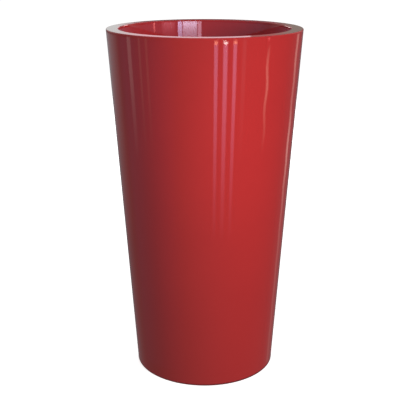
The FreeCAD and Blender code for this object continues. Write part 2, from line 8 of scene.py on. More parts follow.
import bmesh
import bpy
import numpy as np
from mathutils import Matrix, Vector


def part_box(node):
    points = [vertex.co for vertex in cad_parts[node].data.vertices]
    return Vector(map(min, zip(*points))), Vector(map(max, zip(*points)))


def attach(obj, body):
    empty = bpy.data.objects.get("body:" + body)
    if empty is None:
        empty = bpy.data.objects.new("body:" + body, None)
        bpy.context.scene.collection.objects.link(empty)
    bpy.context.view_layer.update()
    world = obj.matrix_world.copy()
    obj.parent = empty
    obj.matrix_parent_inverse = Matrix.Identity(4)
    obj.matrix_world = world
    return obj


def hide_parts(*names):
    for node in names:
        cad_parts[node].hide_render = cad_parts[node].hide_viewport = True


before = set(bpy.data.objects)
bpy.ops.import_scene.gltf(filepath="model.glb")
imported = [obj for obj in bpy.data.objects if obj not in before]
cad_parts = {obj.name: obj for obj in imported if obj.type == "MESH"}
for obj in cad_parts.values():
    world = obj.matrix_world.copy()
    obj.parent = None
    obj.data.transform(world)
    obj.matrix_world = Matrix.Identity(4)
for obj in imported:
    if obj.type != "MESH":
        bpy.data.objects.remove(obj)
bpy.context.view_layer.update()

# %% [markdown]
# ## Camera
# The photograph was taken from about 1.75 m away, a little above the rim, with the lens tipped down.
# A camera can be set by eye, but a fit to the pot's straight sides, its rim and its base gives the
# place, tilt and focal length below to a fifth of a pixel. The pot stands slightly right of the
# picture's middle, and a small lens shift repeats that without turning the view.

# %% Set the camera
CAMERA_PLACE = np.array([0.0, -1.7517, 0.9169])
CAMERA_DIP = np.radians(17.22)
LENS_MM = 74.47
SENSOR_MM = 36
PICTURE_WIDTH = 400
AXIS_COLUMN = 204.7  # where the pot's axis stands in the photograph, in pixels

lens = bpy.data.cameras.new("camera")
lens.lens = LENS_MM
lens.sensor_width = SENSOR_MM
lens.shift_x = (PICTURE_WIDTH / 2 - AXIS_COLUMN) / PICTURE_WIDTH
camera = bpy.data.objects.new("camera", lens)
camera.location = CAMERA_PLACE
camera.rotation_euler = (np.pi / 2 - CAMERA_DIP, 0, 0)
bpy.context.scene.collection.objects.link(camera)
bpy.context.scene.camera = camera
print("camera", CAMERA_PLACE, "shift", round(lens.shift_x, 5))

# %% [markdown]
# ## Turned surfaces
# Most of the pieces are round, as if turned on a lathe, so two tools make nearly all of them. The
# first rounds the corners of an outline, because a real edge always has a small radius that catches
# light. The second carries the outline round an upright axis. Blender's Spin tool could do that too,
# but a grid of radius times cosine and sine is exact, and it can leave cells open for slots.

# %% Round the corners of an outline
MM = 0.001
TURN = 2 * np.pi
TINY = 1e-7  # lengths and angles below this count as nothing
ARC_STEPS = 7
GUARD_REACH = 0.8 * MM
GUARD_SHARE = 0.3  # the most that a guard point takes of a short edge


def soften(corners):
    """Rounds the corners of a closed outline of (radius, height, round) rows.

    A corner's arc touches both edges at round / tan(half the corner's angle), and its centre is on
    the bisector at round / sin(half). Between the two touching points the spokes a and b turn as
    (sin((1 - t) s) a + sin(t s) b) / sin(s), where s is the sweep. A guard point a little further
    along each edge keeps the shading of the flat face beyond it flat.
    """
    corners = np.asarray(corners, float)
    points, rounds = corners[:, :2], corners[:, 2:]
    back, ahead = (np.roll(points, shift, axis=0) - points for shift in (1, -1))
    back_length, ahead_length = (np.linalg.norm(v, axis=1, keepdims=True) for v in (back, ahead))
    back, ahead = back / back_length, ahead / ahead_length
    half = np.arccos(np.clip((back * ahead).sum(1, keepdims=True), -1, 1)) / 2
    touch = rounds / np.tan(half)
    bisector = back + ahead
    bisector = bisector / np.maximum(np.linalg.norm(bisector, axis=1, keepdims=True), TINY)
    centre = points + bisector * rounds / np.sin(half)
    first, last = points + back * touch, points + ahead * touch
    sweep = np.maximum(np.pi - 2 * half, TINY)[:, None]
    share = np.linspace(0, 1, ARC_STEPS)[None, :, None]
    spokes = np.sin((1 - share) * sweep) * (first - centre)[:, None]
    spokes = spokes + np.sin(share * sweep) * (last - centre)[:, None]
    arcs = centre[:, None] + spokes / np.sin(sweep)
    is_round = rounds > 0
    before = first + back * np.minimum(GUARD_REACH, GUARD_SHARE * back_length) * is_round
    after = last + ahead * np.minimum(GUARD_REACH, GUARD_SHARE * ahead_length) * is_round
    outline = np.concatenate([before[:, None], arcs, after[:, None]], axis=1).reshape(-1, 2)
    is_new = np.linalg.norm(outline - np.roll(outline, 1, axis=0), axis=1) > TINY
    return outline[is_new]


square = soften([(0, 0, 0), (1, 0, 0.2), (1, 1, 0), (0, 1, 0)])
print("a square with one rounded corner has", len(square), "points")

# %% Carry an outline round an axis
EDGE_ROOM = 0.3  # the share of a step that stays free beside a window's edge


def row_of(outline, radius, height):
    """The row of an outline that lies nearest to a radius and a height."""
    return int(np.linalg.norm(outline - (radius, height), axis=1).argmin())


def lathe(outline, steps, windows=(), centre=(0, 0), start=-TURN / 8):
    """Turns a closed outline about an upright axis: (radius cos a, radius sin a, height).

    A window is (runs, first angle, last angle). The outline's runs of rows are left open between the
    two angles, and walls join the end of each run to the start of the next.
    """
    angles = start + np.linspace(0, TURN, steps, endpoint=False)
    edges = np.array([angle for _, first, last in windows for angle in (first, last)])
    if len(edges):
        is_clear = np.abs(angles[:, None] - edges).min(axis=1) > EDGE_ROOM * TURN / steps
        angles = np.sort(np.concatenate([angles[is_clear], edges]))
    radius, height = outline[:, :1], outline[:, 1:]
    x = centre[0] + radius * np.cos(angles)
    y = centre[1] + radius * np.sin(angles)
    points = np.stack([x, y, np.broadcast_to(height, x.shape)], axis=-1).reshape(-1, 3)
    here = np.arange(x.size).reshape(x.shape)
    next_row = np.roll(here, -1, axis=0)
    quads = np.stack([here, np.roll(here, -1, axis=1), np.roll(next_row, -1, axis=1), next_row], axis=-1)
    is_open = np.zeros(x.shape, bool)
    walls = []
    for runs, first, last in windows:
        low, high = np.searchsorted(angles, (first, last))
        for (begin, end), (next_begin, _) in zip(runs, runs[1:] + runs[:1]):
            is_open[begin:end, low:high] = True
            a, b = here[end, low:high + 1], here[next_begin, low:high + 1]
            walls += np.stack([a[1:], a[:-1], b[:-1], b[1:]], axis=-1).tolist()
        rim = np.concatenate([np.arange(begin, end + 1) for begin, end in runs])
        walls += [here[rim[::-1], low].tolist(), here[rim, high].tolist()]
    return points, quads[~is_open].tolist() + walls


print("a lathe of that square has", len(lathe(square, 16)[1]), "faces")

# %% [markdown]
# ## From arrays to a piece
# A piece needs a mesh, a finish, the body that it moves with and the solid that it stands for. One
# function does these in the same order for every piece. It merges points that coincide, which closes
# the poles of a turned shape, and marks edges sharper than a set angle, so that flats stay flat.

# %% Put a piece in the scene
SHARP_EDGE = np.radians(35)
MERGE_REACH = 0.001 * MM


def add_piece(name, shape, body, node, finish):
    """Makes a piece from (points, faces), in the place of one CAD node."""
    mesh = bpy.data.meshes.new(name)
    mesh.from_pydata(shape[0], [], shape[1])
    whole = bmesh.new()
    whole.from_mesh(mesh)
    bmesh.ops.remove_doubles(whole, verts=whole.verts, dist=MERGE_REACH)
    loose = [edge for edge in whole.edges if not edge.link_faces]
    bmesh.ops.delete(whole, geom=loose, context="EDGES")
    whole.to_mesh(mesh)
    whole.free()
    mesh.shade_smooth()
    mesh.set_sharp_from_angle(angle=SHARP_EDGE)
    mesh.materials.append(finish)
    piece = bpy.data.objects.new(name, mesh)
    bpy.context.scene.collection.objects.link(piece)
    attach(piece, body)
    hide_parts(node)
    print(f"{name}: {len(mesh.vertices)} points, {len(mesh.polygons)} faces, on {body}")
    return piece


# %% [markdown]
# ## Finishes
# Every finish is a small tree of nodes under one Principled shader. Patterns read Object coordinates,
# which are metres here, so a pattern with features of a given size has a scale of one over that size.
# Colours are written as sRGB hex values, as a paint chart gives them, and turned to linear light.

# %% Tools for finishes
NOISE_LOW, NOISE_HIGH = 0.3, 0.7  # nearly all of a noise lies between these


def linear(colour):
    """Turns an sRGB hex colour to linear light: ((c + 0.055) / 1.055) to the power 2.4."""
    code = np.array([int(colour[i:i + 2], 16) for i in (1, 3, 5)]) / 255
    light = np.where(code <= 0.04045, code / 12.92, ((code + 0.055) / 1.055) ** 2.4)
    return (*light, 1.0)


def add_node(tree, kind, links=None, values=None, **settings):
    """Adds one node with its settings, the values of its sockets and the links into them."""
    node = tree.nodes.new(kind)
    for name, value in settings.items():
        setattr(node, name, value)
    for socket, value in (values or {}).items():
        node.inputs[socket].default_value = value
    for socket, source in (links or {}).items():
        tree.links.new(source, node.inputs[socket])
    return node


def start_finish(name):
    """A new material, its empty tree and the Object coordinates of its surface."""
    material = bpy.data.materials.new(name)
    material.use_nodes = True
    material.node_tree.nodes.clear()
    place = add_node(material.node_tree, "ShaderNodeTexCoord").outputs["Object"]
    return material, material.node_tree, place


def end_finish(material, shader):
    """Links the shader to the output and hands the finished material over."""
    add_node(material.node_tree, "ShaderNodeOutputMaterial", {"Surface": shader.outputs[0]})
    return material


def end_two_colours(material, share, first, second, links, values):
    """Ends a finish under one shader, with a colour between two: (1 - share) first + share second."""
    tree = material.node_tree
    colour = add_node(
        tree, "ShaderNodeMix", {"Factor": share},
        {"A": linear(first), "B": linear(second)}, data_type="RGBA",
    )
    links = {"Base Color": colour.outputs["Result"], **links}
    return end_finish(material, add_node(tree, "ShaderNodeBsdfPrincipled", links, values))


print("lacquer red in linear light", np.round(linear("#CE2828")[:3], 3))

# %% [markdown]
# ## Red lacquer
# The shell is glass-fibre laminate, sprayed with red polyurethane lacquer and polished. The eye sees
# an even deep red under a hard clear gloss. Two things keep it from looking like plastic. The wall
# is never quite true, so long shallow waves make the edges of reflections wander. The spray leaves a
# faint orange peel, which softens them. Both are bump: they are microns high, far below what a mesh
# should carry. Inside the mouth, where no one wipes, dust lies on the lacquer. It shows as a faint pale
# veil, and that is the shader's sheen.

# %% Make the lacquer
def red_lacquer(name, veil):
    """Polyurethane lacquer: wandering reflections, faint peel, even colour and a veil of dust."""
    material, tree, place = start_finish(name)
    wave_width, wave_height, wave_squeeze = 60 * MM, 0.03 * MM, 0.35
    # Squeezing the height makes the waves about three times longer up the wall than round it.
    upright = add_node(tree, "ShaderNodeMapping", {"Vector": place}, {"Scale": (1, 1, wave_squeeze)})
    waves = add_node(
        tree, "ShaderNodeTexNoise", {"Vector": upright.outputs[0]},
        {"Scale": 1 / wave_width, "Detail": 1.0, "Roughness": 0.4},
    )
    wavy = add_node(
        tree, "ShaderNodeBump", {"Height": waves.outputs[0]}, {"Strength": 1.0, "Distance": wave_height}
    )
    # Real peel is 2 to 4 mm across: it is drawn at 8 mm, so that a 400-pixel picture can hold it.
    peel_width, peel_height = 8 * MM, 0.0012 * MM
    peel = add_node(
        tree, "ShaderNodeTexNoise", {"Vector": place}, {"Scale": 1 / peel_width, "Detail": 0.0}
    )
    peeled = add_node(
        tree, "ShaderNodeBump", {"Height": peel.outputs[0], "Normal": wavy.outputs[0]},
        {"Strength": 1.0, "Distance": peel_height},
    )
    cloud_width = 130 * MM
    clouds = add_node(
        tree, "ShaderNodeTexNoise", {"Vector": place}, {"Scale": 1 / cloud_width, "Detail": 3.0}
    )
    polish = add_node(
        tree, "ShaderNodeMapRange", {"Value": clouds.outputs[0]},
        {"From Min": NOISE_LOW, "From Max": NOISE_HIGH, "To Min": 0.02, "To Max": 0.045},
    )
    return end_two_colours(
        material, clouds.outputs[0], "#CA2627", "#D22B2A",
        {"Roughness": polish.outputs[0], "Normal": peeled.outputs[0]},
        {"IOR": 1.5, "Sheen Weight": veil, "Sheen Roughness": 0.6, "Sheen Tint": linear("#E8D2EC")},
    )


lacquer = red_lacquer("red_polyurethane_lacquer_polished", veil=0.0)
dusty_lacquer = red_lacquer("red_polyurethane_lacquer_dusty", veil=0.45)
print("made", lacquer.name, "and", dusty_lacquer.name)

# %% [markdown]
# ## Outer shell
# The wall, the flat rim and the return at the foot are one moulding, so they are one outline: along
# the underside, up the tapered wall, in over the rim and back down inside. The rim's edges have a
# radius of 2 mm. It is what draws the bright hairlines round the mouth.

# %% Turn the outer shell
shell_low, shell_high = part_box("outer_shell")
sleeve_low, sleeve_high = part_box("inner_sleeve")
pot_height, foot_gap = shell_high.z, shell_low.z
rim_underside, ledge_bottom = sleeve_high.z, sleeve_low.z
TOP_RADIUS = 205 * MM  # where the wall's line meets the rim's, before the edge is rounded
BASE_RADIUS = 155 * MM
SHELL_WALL = 4 * MM
RIM_WIDTH = 26 * MM
RIM_ROUND = 2 * MM
FOOT_RETURN_WIDTH = 34 * MM
FOOT_RETURN_THICKNESS = 4 * MM
FOOT_ROUND = 1.5 * MM
RECESS_DEPTH = 64 * MM
SLEEVE_DRAFT = 7.3 * MM
TRIM_ROUND = 0.6 * MM
POT_STEPS = 512

taper = (TOP_RADIUS - BASE_RADIUS) / (pot_height - foot_gap)
mouth_radius = TOP_RADIUS - RIM_WIDTH
foot_opening = BASE_RADIUS - SHELL_WALL - FOOT_RETURN_WIDTH
return_top = foot_gap + FOOT_RETURN_THICKNESS


def shell_inside(height):
    """Radius of the shell's inner face: the base's, plus the taper times the height."""
    return BASE_RADIUS - SHELL_WALL + taper * (height - foot_gap)


def sleeve_inside(height):
    """Radius of the sleeve's inner face: the mouth's, less the draft's share of the depth."""
    return mouth_radius - SLEEVE_DRAFT * (pot_height - height) / RECESS_DEPTH


shell_outline = soften([
    (foot_opening, foot_gap, TRIM_ROUND),
    (BASE_RADIUS, foot_gap, FOOT_ROUND),
    (TOP_RADIUS, pot_height, RIM_ROUND),
    (mouth_radius, pot_height, RIM_ROUND),
    (sleeve_inside(rim_underside), rim_underside, 0),
    (shell_inside(rim_underside), rim_underside, 0),
    (shell_inside(return_top), return_top, 0),
    (foot_opening, return_top, TRIM_ROUND),
])
add_piece(
    "lacquered_shell", lathe(shell_outline, POT_STEPS), "pot", "outer_shell", lacquer
)

# %% [markdown]
# ## Inner sleeve
# Inside the mouth a lacquered sleeve carries the red down to a ledge, on which the liner hangs. It
# draws in more steeply than the wall outside. That tips its far side up, and that side mirrors the
# windows of the room through its veil of dust.

# %% Turn the inner sleeve
SLEEVE_WALL = 3.5 * MM
SLEEVE_FLANGE = 4 * MM
LEDGE_WIDTH = 5 * MM
ledge_top = pot_height - RECESS_DEPTH
ledge_radius = sleeve_inside(ledge_top) - LEDGE_WIDTH
flange_underside = rim_underside - SLEEVE_FLANGE
sleeve_outline = soften([
    (ledge_radius, ledge_bottom, TRIM_ROUND),
    (sleeve_inside(ledge_bottom) + SLEEVE_WALL, ledge_bottom, TRIM_ROUND),
    (sleeve_inside(flange_underside) + SLEEVE_WALL, flange_underside, 0),
    (sleeve_high.x, flange_underside, 0),
    (sleeve_high.x, rim_underside, 0),
    (sleeve_inside(rim_underside), rim_underside, 0),
    (sleeve_inside(ledge_top), ledge_top, 0),
    (ledge_radius, ledge_top, TRIM_ROUND),
])
add_piece(
    "lacquered_sleeve", lathe(sleeve_outline, POT_STEPS), "pot", "inner_sleeve",
    dusty_lacquer,
)

# %% [markdown]
# ## Bare laminate and the base plate
# The base plate is the same laminate without lacquer. Chopped glass strands lie in it every way, and
# they show as pale flecks under the resin. A mesh of strands would be wasteful, so three stretched
# noises, turned against each other, stand for strands 30 mm long and 2 mm wide.

# %% Make the laminate and turn the base plate
def bare_laminate():
    """Hand-laid glass-fibre laminate: satin grey resin with pale strands and a slightly uneven skin."""
    material, tree, place = start_finish("glass_fibre_laminate_hand_laid")
    strand_width, strand_length, strand_height = 2 * MM, 30 * MM, 0.15 * MM
    layers = []
    for angle in (0, TURN / 6, TURN / 3):
        along = add_node(
            tree, "ShaderNodeMapping", {"Vector": place},
            {"Rotation": (0, 0, angle), "Scale": (strand_width / strand_length, 1, 1)},
        )
        noise = add_node(
            tree, "ShaderNodeTexNoise", {"Vector": along.outputs[0]},
            {"Scale": 1 / strand_width, "Detail": 1.0, "Distortion": 0.3},
        )
        layers.append(noise.outputs[0])
    upper = add_node(tree, "ShaderNodeMath", {0: layers[0], 1: layers[1]}, operation="MAXIMUM")
    topmost = add_node(tree, "ShaderNodeMath", {0: upper.outputs[0], 1: layers[2]}, operation="MAXIMUM")
    strands = add_node(
        tree, "ShaderNodeMapRange", {"Value": topmost.outputs[0]},
        {"From Min": 0.52, "From Max": 0.72},
    )
    skin = add_node(
        tree, "ShaderNodeBump", {"Height": strands.outputs[0]}, {"Strength": 1.0, "Distance": strand_height}
    )
    return end_two_colours(
        material, strands.outputs[0], "#5E6062", "#B4B5B2", {"Normal": skin.outputs[0]},
        {"Roughness": 0.5, "IOR": 1.5},
    )


laminate = bare_laminate()
plate_low, plate_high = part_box("base_plate")
PLATE_THICKNESS = 5 * MM
PLATE_STEPS = 256
BOND_GAP = 0.3 * MM
DRAIN_RADIUS = 12 * MM
BOSS_RADIUS = 26 * MM
plate_top = plate_low.z + PLATE_THICKNESS
plate_outline = soften([
    (DRAIN_RADIUS, plate_low.z, 0),
    (shell_inside(plate_low.z) - BOND_GAP, plate_low.z, 0),
    (shell_inside(plate_top) - BOND_GAP, plate_top, 0),
    (BOSS_RADIUS, plate_top, 1.5 * MM),
    (BOSS_RADIUS, plate_high.z, 1 * MM),
    (DRAIN_RADIUS, plate_high.z, TRIM_ROUND),
])
add_piece("base_floor", lathe(plate_outline, PLATE_STEPS), "pot", "base_plate", laminate)

# %% [markdown]
# ## Sealant bead
# A gun lays a bead of silicone in the corner of the base, and a wet finger tools it hollow. So its
# outline is the corner and a quarter of a circle. Tooling leaves a soft sheen with lazy ripples.

# %% Make the silicone and turn the bead
def tooled_silicone():
    """Finger-tooled silicone: dense grey, soft sheen, ripples about a fingertip apart."""
    material, tree, place = start_finish("silicone_sealant_finger_tooled")
    ripple_width, ripple_height = 14 * MM, 0.4 * MM
    ripples = add_node(
        tree, "ShaderNodeTexNoise", {"Vector": place}, {"Scale": 1 / ripple_width, "Detail": 2.0}
    )
    uneven = add_node(
        tree, "ShaderNodeBump", {"Height": ripples.outputs[0]}, {"Strength": 1.0, "Distance": ripple_height}
    )
    return end_two_colours(
        material, ripples.outputs[0], "#6E6F70", "#858585", {"Normal": uneven.outputs[0]},
        {"Roughness": 0.38, "IOR": 1.41},
    )


SEAL_LEG = 9 * MM
HOLLOW_STEPS = 12
corner_radius = shell_inside(plate_top) - BOND_GAP
seal_radius = shell_inside(plate_top + SEAL_LEG) - BOND_GAP
swing = np.linspace(0, TURN / 4, HOLLOW_STEPS)[::-1]
hollow = np.stack([
    corner_radius - SEAL_LEG + (seal_radius - corner_radius + SEAL_LEG) * np.sin(swing),
    plate_top + SEAL_LEG * (1 - np.cos(swing)),
], axis=1)
bead_outline = np.concatenate([[(corner_radius, plate_top)], hollow])
add_piece(
    "sealant_bead", lathe(bead_outline, PLATE_STEPS), "pot", "base_sealant", tooled_silicone()
)

# %% [markdown]
# ## Rubber pads and bung
# Four pads under the foot keep the lacquered edge off the floor, and a bung closes the drain hole.
# Both are moulded black rubber, which looks dusty grey at a glance and has a fine pebble from the
# mould. The pads are one piece: a disc turned once, and set out on a circle by adding offsets.

# %% Make the rubber, the pads and the bung
def moulded_rubber():
    """Compression-moulded rubber: dull black with a fine pebble and a dusty bloom."""
    material, tree, place = start_finish("black_rubber_compression_moulded")
    # Real pebble is under 1 mm across: it is drawn at 2.5 mm so that it shows.
    pebble_width, pebble_height, bloom_width = 2.5 * MM, 0.12 * MM, 15 * MM
    pebble = add_node(
        tree, "ShaderNodeTexVoronoi", {"Vector": place}, {"Scale": 1 / pebble_width}, feature="SMOOTH_F1"
    )
    grain = add_node(
        tree, "ShaderNodeBump", {"Height": pebble.outputs[0]}, {"Strength": 0.6, "Distance": pebble_height}
    )
    bloom = add_node(
        tree, "ShaderNodeTexNoise", {"Vector": place}, {"Scale": 1 / bloom_width, "Detail": 4.0}
    )
    return end_two_colours(
        material, bloom.outputs[0], "#1B1B1C", "#343536", {"Normal": grain.outputs[0]},
        {"Roughness": 0.72, "IOR": 1.52},
    )


rubber = moulded_rubber()
PAD_RADIUS = 12 * MM
PAD_COUNT = 4
PAD_STEPS = 64
pad_outline = soften([
    (0, 0, 0),
    (PAD_RADIUS, 0, 0.5 * MM),
    (PAD_RADIUS, foot_gap, 0.3 * MM),
    (0, foot_gap, 0),
])
pad_points, pad_faces = lathe(pad_outline, PAD_STEPS)
pad_circle = foot_opening + FOOT_RETURN_WIDTH / 2
pad_turns = np.arange(PAD_COUNT) * TURN / PAD_COUNT
pad_places = pad_circle * np.stack([np.cos(pad_turns), np.sin(pad_turns), 0 * pad_turns], axis=1)
pads = (
    (pad_points + pad_places[:, None]).reshape(-1, 3),
    [[k + n * len(pad_points) for k in face] for n in range(PAD_COUNT) for face in pad_faces],
)
add_piece("rubber_pads", pads, "pot", "foot_pads", rubber)

bung_low, bung_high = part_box("drain_bung")
BUNG_CLEARANCE = 0.3 * MM
stem_radius = DRAIN_RADIUS - BUNG_CLEARANCE
NECK_RADIUS = 6 * MM
GRIP_RADIUS = 12 * MM
BUNG_FLANGE = 4 * MM
NECK_LENGTH = 7 * MM
STEM_DRAFT = 1 * MM
SMALL_STEPS = 96  # round the axis of a piece that a hand closes over
bung_flange_top = plate_high.z + BUNG_FLANGE
neck_top = bung_flange_top + NECK_LENGTH
bung_outline = soften([
    (0, bung_low.z, 0),
    (stem_radius - STEM_DRAFT, bung_low.z, 0.8 * MM),
    (stem_radius, plate_high.z, 0),
    (bung_high.x, plate_high.z, 0.8 * MM),
    (bung_high.x, bung_flange_top, 1.2 * MM),
    (NECK_RADIUS, bung_flange_top, 1.5 * MM),
    (NECK_RADIUS, neck_top, 1.5 * MM),
    (GRIP_RADIUS, neck_top, 2 * MM),
    (GRIP_RADIUS, bung_high.z, 2 * MM),
    (0, bung_high.z, 0),
])
add_piece("rubber_bung", lathe(bung_outline, SMALL_STEPS), "bung", "drain_bung", rubber)

# %% [markdown]
# ## Moulded plastics
# Liner, handles, tray and shaft are injection-moulded. Their moulds are spark-eroded, which gives the
# plastic a fine even grain that breaks up the shine, and the melt leaves faint clouds where it flowed.
# One finish serves them all, with its own colours, grain and shine for each plastic.

# %% Make the moulded plastics
SHINE_SPREAD = 0.06


def moulded_plastic(name, dark, light, grain_width, shine):
    """Moulded plastic: clouded between two close colours, grained, with an uneven satin shine."""
    material, tree, place = start_finish(name)
    grain_height, cloud_width = grain_width / 25, 45 * MM
    grain = add_node(
        tree, "ShaderNodeTexNoise", {"Vector": place}, {"Scale": 1 / grain_width, "Detail": 2.0}
    )
    eroded = add_node(
        tree, "ShaderNodeBump", {"Height": grain.outputs[0]}, {"Strength": 0.7, "Distance": grain_height}
    )
    clouds = add_node(
        tree, "ShaderNodeTexNoise", {"Vector": place},
        {"Scale": 1 / cloud_width, "Detail": 3.0, "Distortion": 0.8},
    )
    satin = add_node(
        tree, "ShaderNodeMapRange", {"Value": grain.outputs[0]},
        {
            "From Min": NOISE_LOW, "From Max": NOISE_HIGH,
            "To Min": shine - SHINE_SPREAD, "To Max": shine + SHINE_SPREAD,
        },
    )
    return end_two_colours(
        material, clouds.outputs[0], dark, light,
        {"Roughness": satin.outputs[0], "Normal": eroded.outputs[0]}, {"IOR": 1.49},
    )


# Real spark grain is 0.2 to 0.5 mm: it is drawn at 1.2 to 2 mm, the least that shows from a step away.
liner_plastic = moulded_plastic(
    "charcoal_polypropylene_moulded", "#414447", "#4D5053", grain_width=2 * MM, shine=0.48
)
handle_plastic = moulded_plastic(
    "black_polypropylene_moulded", "#151617", "#202123", grain_width=1.2 * MM, shine=0.36
)
tray_plastic = moulded_plastic(
    "grey_recycled_polypropylene_moulded", "#6C7073", "#83878A", grain_width=2 * MM, shine=0.55
)
shaft_plastic = moulded_plastic(
    "slate_abs_moulded", "#53575B", "#61656A", grain_width=1.5 * MM, shine=0.4
)
print("made four moulded plastics")

# %% [markdown]
# ## Liner
# The liner is a deep bucket, drafted so that it leaves its mould, with a flange that hangs on the
# sleeve's ledge. Four slots in the flange let the handles' legs through, and they are windows in the
# lathe's grid. A boolean cut would do as well, but it leaves long thin faces that shade badly.

# %% Turn the liner
liner_low, liner_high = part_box("liner_pot")
LINER_BASE_RADIUS = 135.7 * MM
LINER_TOP_RADIUS = 155.7 * MM
LINER_WALL = 2.5 * MM
LINER_FLOOR = 3 * MM
FLOOR_ROUND = 6 * MM
LIP_ROUND = 1.2 * MM
LEG_INNER, LEG_OUTER = 160.7 * MM, 164.7 * MM
SLOT_ROOM = 0.5 * MM
LEG_TURN = np.radians(17)  # middle of a leg, from the middle of its handle
LEG_HALF = np.radians(2)
liner_floor_top = liner_low.z + LINER_FLOOR
liner_slope = (LINER_TOP_RADIUS - LINER_BASE_RADIUS) / (ledge_top - liner_low.z)


def liner_inside(height):
    """Radius of the liner's inner face: its base's, less the wall, plus the slope times the height."""
    return LINER_BASE_RADIUS - LINER_WALL + liner_slope * (height - liner_low.z)


slot_in, slot_out = LEG_INNER - SLOT_ROOM, LEG_OUTER + SLOT_ROOM
liner_outline = soften([
    (0, liner_low.z, 0),
    (LINER_BASE_RADIUS, liner_low.z, FLOOR_ROUND),
    (LINER_TOP_RADIUS, ledge_top, 0.5 * MM),
    (slot_in, ledge_top, 0),
    (slot_out, ledge_top, 0),
    (liner_high.x, ledge_top, 0.3 * MM),
    (liner_high.x, liner_high.z, LIP_ROUND),
    (slot_out, liner_high.z, 0),
    (slot_in, liner_high.z, 0),
    (liner_inside(liner_high.z), liner_high.z, LIP_ROUND),
    (liner_inside(liner_floor_top), liner_floor_top, FLOOR_ROUND - LINER_WALL),
    (0, liner_floor_top, 0),
])
slot_runs = [
    (row_of(liner_outline, slot_in, ledge_top), row_of(liner_outline, slot_out, ledge_top)),
    (row_of(liner_outline, slot_out, liner_high.z), row_of(liner_outline, slot_in, liner_high.z)),
]
slot_half = LEG_HALF + SLOT_ROOM / LEG_INNER
slot_middles = [side + way * LEG_TURN for side in (0, TURN / 2) for way in (-1, 1)]
liner_slots = [(slot_runs, middle - slot_half, middle + slot_half) for middle in slot_middles]
add_piece(
    "liner_bucket", lathe(liner_outline, POT_STEPS, liner_slots), "liner", "liner_pot",
    liner_plastic,
)

# %% [markdown]
# ## Lift handles
# A handle is a strap bent to the liner's curve. Its legs run down through the flange to small hooks,
# its shoulders stand on the flange, and a bar joins them. It could be cut from a plate, but here a
# rounded section is stretched between the strap's outer and inner edge lines, which are drawn on the
# unrolled cylinder and then wrapped round it.

# %% Draw and wrap the lift handles
HANDLE_SPAN = np.radians(19)  # from the handle's middle to its ends
SHOULDER = np.radians(2.5)
BAR_HEIGHT = 7 * MM
HANDLE_CORNER = 5 * MM
INNER_CORNER = 2 * MM
STRAP_ROUND = 1.1 * MM
CORNER_STEPS, BAR_STEPS, SECTION_STEPS = 8, 13, 5
HOOK_DEPTH, HOOK_HEIGHT = 3 * MM, 5 * MM
handle_radius = (LEG_INNER + LEG_OUTER) / 2
half_strap = (LEG_OUTER - LEG_INNER) / 2


def quarter(centre, radius):
    """A quarter circle on the unrolled strap: centre + radius (cos a, sin a), for a from 0 to 90."""
    swing = np.linspace(0, TURN / 4, CORNER_STEPS)
    return np.asarray(centre) + radius * np.stack([np.cos(swing), np.sin(swing)], axis=1)


def lift_handle(foot, top, side):
    """Wraps a strap round the cylinder: ((R + out) cos(w / R), (R + out) sin(w / R), height).

    The outer edge runs up a leg, round a corner and along the bar. The inner edge keeps pace with it,
    and steps in at the shoulder. The section is a rounded rectangle between the two edges.
    """
    leg_edge = HANDLE_SPAN * handle_radius
    leg_inside = leg_edge - 2 * LEG_HALF * handle_radius
    shoulder_inside = leg_inside - SHOULDER * handle_radius
    bar_low = top - BAR_HEIGHT
    rise = np.array([foot, foot + HOOK_HEIGHT, foot + HOOK_HEIGHT, liner_high.z, liner_high.z])
    arc_out = quarter((leg_edge - HANDLE_CORNER, top - HANDLE_CORNER), HANDLE_CORNER)
    arc_in = quarter((shoulder_inside - INNER_CORNER, bar_low - INNER_CORNER), INNER_CORNER)
    outer = np.concatenate([np.stack([np.full(len(rise), leg_edge), rise], axis=1), arc_out])
    inside = np.full(len(rise), leg_inside)
    inside[-1] = shoulder_inside
    inner = np.concatenate([np.stack([inside, rise], axis=1), arc_in])
    share = np.linspace(0, 1, BAR_STEPS)[1:, None]
    outer = np.concatenate([outer, outer[-1] + share * ((0, top) - outer[-1])])
    inner = np.concatenate([inner, inner[-1] + share * ((0, bar_low) - inner[-1])])
    hook = np.zeros(len(outer))
    hook[:2] = HOOK_DEPTH
    flip = np.array([-1, 1])
    outer = np.concatenate([outer, outer[-2::-1] * flip])
    inner = np.concatenate([inner, inner[-2::-1] * flip])
    hook = np.concatenate([hook, hook[-2::-1]])

    turns = np.linspace(0, TURN / 4, SECTION_STEPS)
    bulge = STRAP_ROUND * (1 - np.cos(turns))
    level = half_strap - STRAP_ROUND + STRAP_ROUND * np.sin(turns)
    # One turn of the section: nearness to the inner edge, step away from that edge, and level outwards.
    near = np.repeat([0, 1, 1, 0], SECTION_STEPS)
    step = np.concatenate([bulge, -bulge[::-1], -bulge, bulge[::-1]])
    out = np.concatenate([level, level[::-1], -level, -level[::-1]])
    across = inner - outer
    across_unit = across / np.linalg.norm(across, axis=1, keepdims=True)
    flat = outer[:, None] + near[:, None] * across[:, None] + step[:, None] * across_unit[:, None]
    radius = handle_radius + out - np.where(out < 0, hook[:, None], 0)
    angle = side + flat[..., 0] / handle_radius
    points = np.stack([radius * np.cos(angle), radius * np.sin(angle), flat[..., 1]], axis=-1)
    rows, columns = points.shape[:2]
    here = np.arange(rows * columns).reshape(rows, columns)
    beside = np.roll(here, -1, axis=1)
    quads = np.stack([here[:-1], here[1:], beside[1:], beside[:-1]], axis=-1).reshape(-1, 4)
    ends = [here[0].tolist(), here[-1, ::-1].tolist()]
    return points.reshape(-1, 3), quads.tolist() + ends


